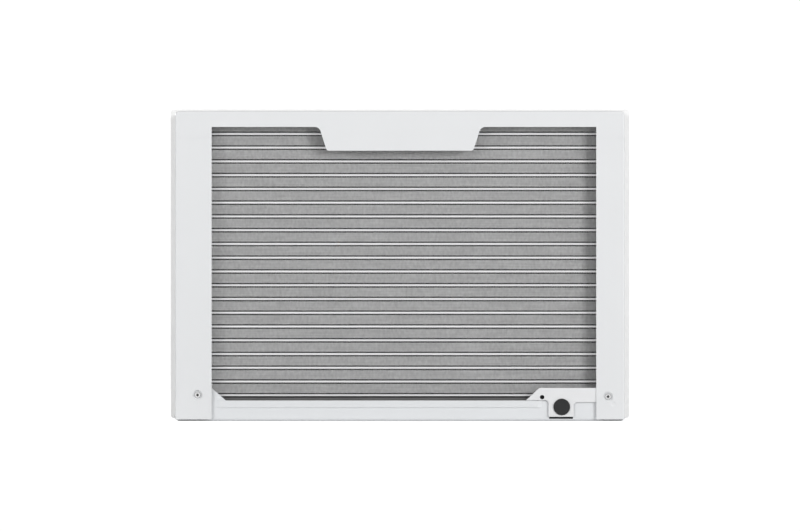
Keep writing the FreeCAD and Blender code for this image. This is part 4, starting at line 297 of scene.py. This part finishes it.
# Screws and other plated steel: zinc over steel, with a slightly cloudy passivated coat. The
# drain plate's own screw is blackened. The cabinet screws are darkened in the recess and at the
# foot of each head by painted shade.

ZINC = (0.66, 0.665, 0.66)
BRIGHT_ZINC = (0.88, 0.88, 0.88)
RECESS_SHADE = (0.05, 0.05, 0.05)
SHADE_DEPTH = 0.0014
SHADE_FADE = 0.0003
BLACK_OXIDE = (0.02, 0.02, 0.022)
METAL_DARKER = 0.12
METAL_LIGHTER = 0.06
METAL_GLOSSIER = 0.06
METAL_FLATTER = 0.08
METAL_GRAIN = 700
METAL_GRAIN_DEPTH = 0.00001
HALF_BRIGHT = 0.35


def plated_metal(name, colour, roughness, blotch=90, grain=(1, 1, 1)):
    """Bare or plated metal, blotched in tone and shine, with a fine drawn or rolled grain."""
    metal = Finish(name, roughness, metallic=1.0)
    drift = metal.cloud(blotch, detail=3, stretch=grain)
    vary_colour(metal, drift, colour, METAL_DARKER, METAL_LIGHTER)
    vary_shine(metal, drift, roughness, METAL_GLOSSIER, METAL_FLATTER)
    metal.relief(metal.cloud(METAL_GRAIN, stretch=grain), METAL_GRAIN_DEPTH)
    return metal


zinc_plate = plated_metal("zinc_plate", ZINC, 0.3, blotch=300)
dress(zinc_plate, "mode_shaft", "temperature_shaft", "compressor_nuts")
bright_plate = plated_metal("bright_plate", BRIGHT_ZINC, 0.32, blotch=300)
bright_plate.set("Metallic", HALF_BRIGHT)
# Painted shade: each cabinet screw head turns near black in its recess and at its foot, wherever
# it lies more than a set depth behind its face.
head_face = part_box("cabinet_screws")[1][1]
bright_place = {"Vector": bright_plate.place}
outward = bright_plate.add("ShaderNodeSeparateXYZ", inputs=bright_place, output="Y")
out_of_shade = (outward - (head_face - SHADE_DEPTH)) * (1 / SHADE_FADE)
bright_plate.set("Base Color", bright_plate.tint(out_of_shade, RECESS_SHADE, BRIGHT_ZINC))
dress(bright_plate, "cabinet_screws")
black_oxide = plated_metal("black_oxide", BLACK_OXIDE, 0.4, blotch=300)
# The blackening of the motor shaft and the fan nut is painted shade, which keeps them dark behind
# the fins.
dress(black_oxide, "drain_plate_screw", "fan_nut", "motor_shaft")


# The condenser core: flat aluminium tubes brazed into two round headers, with a rail at the foot
# and the head. Between the tubes run folded strips of thin fin stock, louvred across their legs.

TUBE_ALUMINIUM = (0.91, 0.915, 0.92)
ALONG_TUBE = (0.1, 4, 4)
RAIL_SHADE_GREY = (0.20, 0.20, 0.20)
FIN_ALUMINIUM = (0.80, 0.80, 0.80)
FIN_METALLIC = 0.5
FIN_MOTTLE = 420
MOTTLE_STRETCH = (1, 0.1, 0.6)
FIN_STREAKS = 700
STREAK_STRETCH = (0.03, 0.1, 1)
STREAK_SHARE = 0.4
FIN_DARKER = 0.16
FIN_LIGHTER = 0.08
FIN_PITCH = 0.00118
FIN_STOCK = 0.0001
FIN_BEND = 0.0003
LOUVRE_MARGIN = 0.0011
LOUVRE_RAMP = 0.0004
LOUVRE_REACH = 0.00125
LOUVRE_DEPTH = 0.0013
BAND_COUNT = 20
FLAT_TUBE = 0.002
BANDS_PER_PIECE = 5

drawn_aluminium = plated_metal("drawn_aluminium", TUBE_ALUMINIUM, 0.42, 30, ALONG_TUBE)
drawn_aluminium.set("Metallic", HALF_BRIGHT)
dress(drawn_aluminium, "condenser_tubes", "condenser_headers")
# The rails' dark grey is painted shade. It is far darker than their aluminium, and stands for the
# shade that falls on them behind the cabinet's flange and the pan.
dress(plated_metal("rail_painted_shade", RAIL_SHADE_GREY, 0.5, blotch=45), "condenser_rails")
fin_stock = plated_metal("fin_stock", FIN_ALUMINIUM, 0.5, blotch=120)
fin_stock.set("Metallic", FIN_METALLIC)
mottle = fin_stock.cloud(FIN_MOTTLE, stretch=MOTTLE_STRETCH)
streaks = fin_stock.cloud(FIN_STREAKS, detail=1, stretch=STREAK_STRETCH)
fin_tone = fin_stock.between(mottle * (1 - STREAK_SHARE) + streaks * STREAK_SHARE, 0, 1)
vary_colour(fin_stock, fin_tone, FIN_ALUMINIUM, FIN_DARKER, FIN_LIGHTER)


def new_piece(name, shape, finish, body):
    """Turns a finished bmesh into a piece that rides on a body."""
    mesh = bpy.data.meshes.new(name)
    shape.to_mesh(mesh)
    shape.free()
    mesh.materials.append(finish.material)
    piece = bpy.data.objects.new(name, mesh)
    scene.collection.objects.link(piece)
    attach(piece, body)
    return piece


def repeat(piece, count, step):
    """Sets out a row of copies, each one step on from the last."""
    row = piece.modifiers.new("row", "ARRAY")
    row.count = count
    row.use_relative_offset = False
    row.use_constant_offset = True
    row.constant_offset_displace = step


(core_left, core_front, core_low), (core_right, core_back, core_high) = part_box("condenser_fins")
tube_pitch = (core_high - core_low + FLAT_TUBE) / BAND_COUNT
band_height = tube_pitch - FLAT_TUBE


def folded_fins():
    """One fold of the strip: up, over the crest, down and along the root. Each leg slants across
    like a louvre at the core's outdoor face, and then runs on to the face on the room side."""
    shape = bmesh.new()
    climb = [FIN_BEND, LOUVRE_MARGIN, LOUVRE_MARGIN + LOUVRE_RAMP]
    climb += [band_height - height for height in reversed(climb)]
    path = [(0, height) for height in climb]
    path += [(FIN_BEND, band_height), (FIN_PITCH - FIN_BEND, band_height)]
    path += [(FIN_PITCH, height) for height in reversed(climb)]
    path += [(FIN_PITCH + FIN_BEND, 0), (2 * FIN_PITCH - FIN_BEND, 0), (2 * FIN_PITCH, FIN_BEND)]
    edge = [shape.verts.new((core_left + x, core_back, core_low + z)) for x, z in path]
    folds = [shape.edges.new(pair) for pair in zip(edge, edge[1:])]
    first_louvred, last_louvred = climb[2] - LOUVRE_RAMP / 2, climb[3] + LOUVRE_RAMP / 2
    straight = core_back - core_front - LOUVRE_DEPTH
    for reach, depth in ((0.5, LOUVRE_DEPTH), (-1, straight), (0.5, 0)):
        leg = [vert for vert in edge if first_louvred < vert.co.z - core_low < last_louvred]
        bmesh.ops.translate(shape, verts=leg, vec=(reach * LOUVRE_REACH, 0, 0))
        if depth:
            made = bmesh.ops.extrude_edge_only(shape, edges=folds)["geom"]
            folds = [part for part in made if isinstance(part, bmesh.types.BMEdge)]
            edge = [part for part in made if isinstance(part, bmesh.types.BMVert)]
            bmesh.ops.translate(shape, verts=edge, vec=(0, -depth, 0))
    bmesh.ops.solidify(shape, geom=shape.faces[:], thickness=FIN_STOCK)
    return shape


fold_count = int((core_right - core_left) / (2 * FIN_PITCH))
for first in range(0, BAND_COUNT, BANDS_PER_PIECE):
    fold = folded_fins()
    bmesh.ops.translate(fold, verts=fold.verts, vec=(0, 0, first * tube_pitch))
    fins = new_piece(f"folded_fins_{first + 1}", fold, fin_stock, "cabinet")
    repeat(fins, fold_count, (2 * FIN_PITCH, 0, 0))
    repeat(fins, min(BANDS_PER_PIECE, BAND_COUNT - first), (0, 0, tube_pitch))
    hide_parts("condenser_fins")


# The condenser fan and the blower are moulded in black plastic on one blackened shaft, and the
# motor between them is a painted steel can. Its stand, the shroud and the bulkhead are painted
# black, and the control box is galvanised. The black of the stand, shroud, bulkhead, shaft and
# fan nut is also painted shade: it stands for the shade inside the unit, seen through the fins.

FAN_BLACK = (0.03, 0.03, 0.033)
MOTOR_GREY = (0.16, 0.165, 0.17)
GALVANISED = (0.52, 0.535, 0.545)
SHROUD_BLACK_AND_SHADE = (0.02, 0.02, 0.021)
AIR_SIDE = ("fan_shroud", "bulkhead", "motor_bracket")

dress(moulded_plastic("fan_plastic", FAN_BLACK, 0.4), "condenser_fan", "blower_wheel")
dress(painted_steel("motor_paint", MOTOR_GREY), "motor_housing")
galvanised_sheet = plated_metal("galvanised_sheet", GALVANISED, 0.42, blotch=45)
dress(galvanised_sheet, "control_box")
dress(painted_steel("black_paint_and_shade", SHROUD_BLACK_AND_SHADE, roughness=0.5), *AIR_SIDE)


# The indoor side: a foam scroll and drip tray in white, and an evaporator of copper tube through
# a stack of thin aluminium fins. The refrigerant pipes and the thermostat's bulb are copper too.

FOAM_WHITE = (0.72, 0.72, 0.70)
COPPER = (0.72, 0.36, 0.22)
EVAPORATOR_FIN_PITCH = 0.0016
EVAPORATOR_FIN_STOCK = 0.00015

foam = moulded_plastic("bead_foam", FOAM_WHITE, 0.75, grain=350, depth=0.0002)
dress(foam, "blower_scroll", "scroll_orifice", "drip_tray")
copper = plated_metal("drawn_copper", COPPER, 0.28, blotch=60)
dress(copper, "evaporator_tubes", "discharge_pipe", "suction_pipe", "capillary_tube")
dress(copper, "filter_drier", "thermostat_sensor")
dress(fin_stock, "evaporator_end_plates")


def block(shape, centre, size, turn=0.0):
    """A block. The turn is about the line of sight, clockwise as the room side sees it."""
    place = Matrix.Translation(centre) @ Matrix.Rotation(turn, 4, "Y")
    bmesh.ops.create_cube(shape, size=1, matrix=place @ Matrix.Diagonal((*size, 1)))


coil_low, coil_high = (Vector(corner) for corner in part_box("evaporator_fins"))
coil_span = coil_high - coil_low
first_plate = (coil_low + coil_high) / 2
first_plate.x = coil_low.x + EVAPORATOR_FIN_STOCK / 2
plate = bmesh.new()
block(plate, first_plate, (EVAPORATOR_FIN_STOCK, coil_span.y, coil_span.z))
plate_fins = new_piece("evaporator_plate_fins", plate, fin_stock, "cabinet")
plate_count = int(coil_span.x / EVAPORATOR_FIN_PITCH)
repeat(plate_fins, plate_count, (EVAPORATOR_FIN_PITCH, 0, 0))
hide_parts("evaporator_fins")


# The compressor and its accumulator are black enamelled steel. The terminal cover and the
# switches are black plastic, and the run capacitor is a drawn aluminium can.

ENAMEL_BLACK = (0.015, 0.015, 0.016)
SWITCH_BLACK = (0.05, 0.05, 0.05)

enamel = painted_steel("black_enamel", ENAMEL_BLACK, roughness=0.22)
dress(enamel, "compressor_shell", "accumulator")
switch_plastic = moulded_plastic("switch_plastic", SWITCH_BLACK, 0.4)
dress(switch_plastic, "mode_switch", "thermostat", "terminal_cover")
dress(drawn_aluminium, "run_capacitor")


# The front panel and its intake grille: white moulded plastic with a fine spark texture, a shade
# brighter than the painted cabinet behind them.

PANEL_WHITE = (0.91, 0.91, 0.905)

panel_plastic = moulded_plastic("panel_plastic", PANEL_WHITE, 0.48)
dress(panel_plastic, "front_panel", "intake_grille")


# The filter: a ribbed plastic frame with a fine net stretched across its back. The net's upright
# threads lie just in front of those that run across.

FILTER_BLUE = (0.10, 0.16, 0.24)
NET_BLUE = (0.06, 0.09, 0.13)
NET_PITCH = 0.0015
NET_THREAD = 0.0003
NET_STAGGER = NET_THREAD / 3

dress(moulded_plastic("filter_plastic", FILTER_BLUE, 0.5), "filter_frame")
net_plastic = moulded_plastic("net_plastic", NET_BLUE, 0.55)
net_low, net_high = (Vector(corner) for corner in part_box("filter_mesh"))
middle = (net_low + net_high) / 2
span = net_high - net_low
weave = bmesh.new()
for number in range(int(span.x / NET_PITCH)):
    x = net_low.x + NET_PITCH * (number + 0.5)
    block(weave, (x, middle.y - NET_STAGGER, middle.z), (NET_THREAD, NET_THREAD, span.z))
for number in range(int(span.z / NET_PITCH)):
    z = net_low.z + NET_PITCH * (number + 0.5)
    block(weave, (middle.x, middle.y + NET_STAGGER, z), (span.x, NET_THREAD, NET_THREAD))
net = new_piece("filter_net", weave, net_plastic, "filter")
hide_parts("filter_mesh")


# The air deflectors: horizontal blades in the panel's white, and upright vanes with their links,
# a shade greyer.

VANE_GREY = (0.62, 0.62, 0.61)

dress(panel_plastic, *(f"deflector_blade_{number}" for number in (1, 2, 3)))
vane_plastic = moulded_plastic("vane_plastic", VANE_GREY, 0.45)
dress(vane_plastic, "deflector_link", "vane_tie_bar")
dress(vane_plastic, *(f"swing_vane_{number}" for number in range(1, 7)))


# The controls: a grey fascia with printed dial marks, and two white knobs, each with a dark
# pointer line along its grip.

FASCIA_GREY = (0.42, 0.43, 0.44)
KNOB_WHITE = (0.74, 0.74, 0.73)
INK = (0.05, 0.055, 0.06)
MARK_RADIUS = 0.0275
MARK_WIDTH = 0.0008
MARK_LENGTH = 0.004
DIGIT_RADIUS = 0.0335
DIGIT_HEIGHT = 0.0065
FONT_SHARE = 0.7
POINTER_RADIUS = 0.0085
POINTER_WIDTH = 0.0014
POINTER_LENGTH = 0.013
POINTER_RISE = 0.00002
PRINT = 0.00012

dress(moulded_plastic("fascia_plastic", FASCIA_GREY, 0.42), "control_plate")
dress(moulded_plastic("knob_plastic", KNOB_WHITE, 0.35), "mode_knob", "temperature_knob")
ink = moulded_plastic("dial_ink", INK, 0.5)
fascia_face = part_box("control_plate")[0][1]


def digit(text, centre):
    """The mesh of one printed figure, upright and facing the room side."""
    outline = bpy.data.curves.new("figure", "FONT")
    outline.body = text
    outline.size = DIGIT_HEIGHT / FONT_SHARE
    outline.extrude = PRINT / 2
    outline.align_x = "CENTER"
    outline.align_y = "CENTER"
    holder = bpy.data.objects.new("figure", outline)
    mesh = bpy.data.meshes.new_from_object(holder)
    bpy.data.objects.remove(holder)
    mesh.transform(Matrix.Translation(centre) @ Matrix.Rotation(math.pi / 2, 4, "X"))
    return mesh


def dial_marks(name, knob, first, last, count):
    """Marks round a knob from the first angle to the last, numbered from 0."""
    low, high = (Vector(corner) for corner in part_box(knob))
    hub = (low + high) / 2
    hub.y = fascia_face - PRINT / 2
    shape = bmesh.new()
    for number in range(count):
        angle = math.radians(first + (last - first) * number / (count - 1))
        way = Vector((math.sin(angle), 0, math.cos(angle)))
        block(shape, hub + way * MARK_RADIUS, (MARK_WIDTH, PRINT, MARK_LENGTH), angle)
        figure = digit(str(number), hub + way * DIGIT_RADIUS)
        shape.from_mesh(figure)
        bpy.data.meshes.remove(figure)
    return new_piece(name, shape, ink, "cabinet")


dial_marks("mode_dial_marks", "mode_knob", first=0, last=225, count=6)
dial_marks("temperature_dial_marks", "temperature_knob", first=-135, last=135, count=7)

for knob, body in (("mode_knob", "mode_control"), ("temperature_knob", "temperature_control")):
    low, high = (Vector(corner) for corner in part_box(knob))
    middle = (low + high) / 2
    tip = (middle.x, low.y + PRINT / 2 - POINTER_RISE, middle.z + POINTER_RADIUS)
    line = bmesh.new()
    block(line, tip, (POINTER_WIDTH, PRINT, POINTER_LENGTH))
    new_piece(f"{knob}_pointer", line, ink, body)
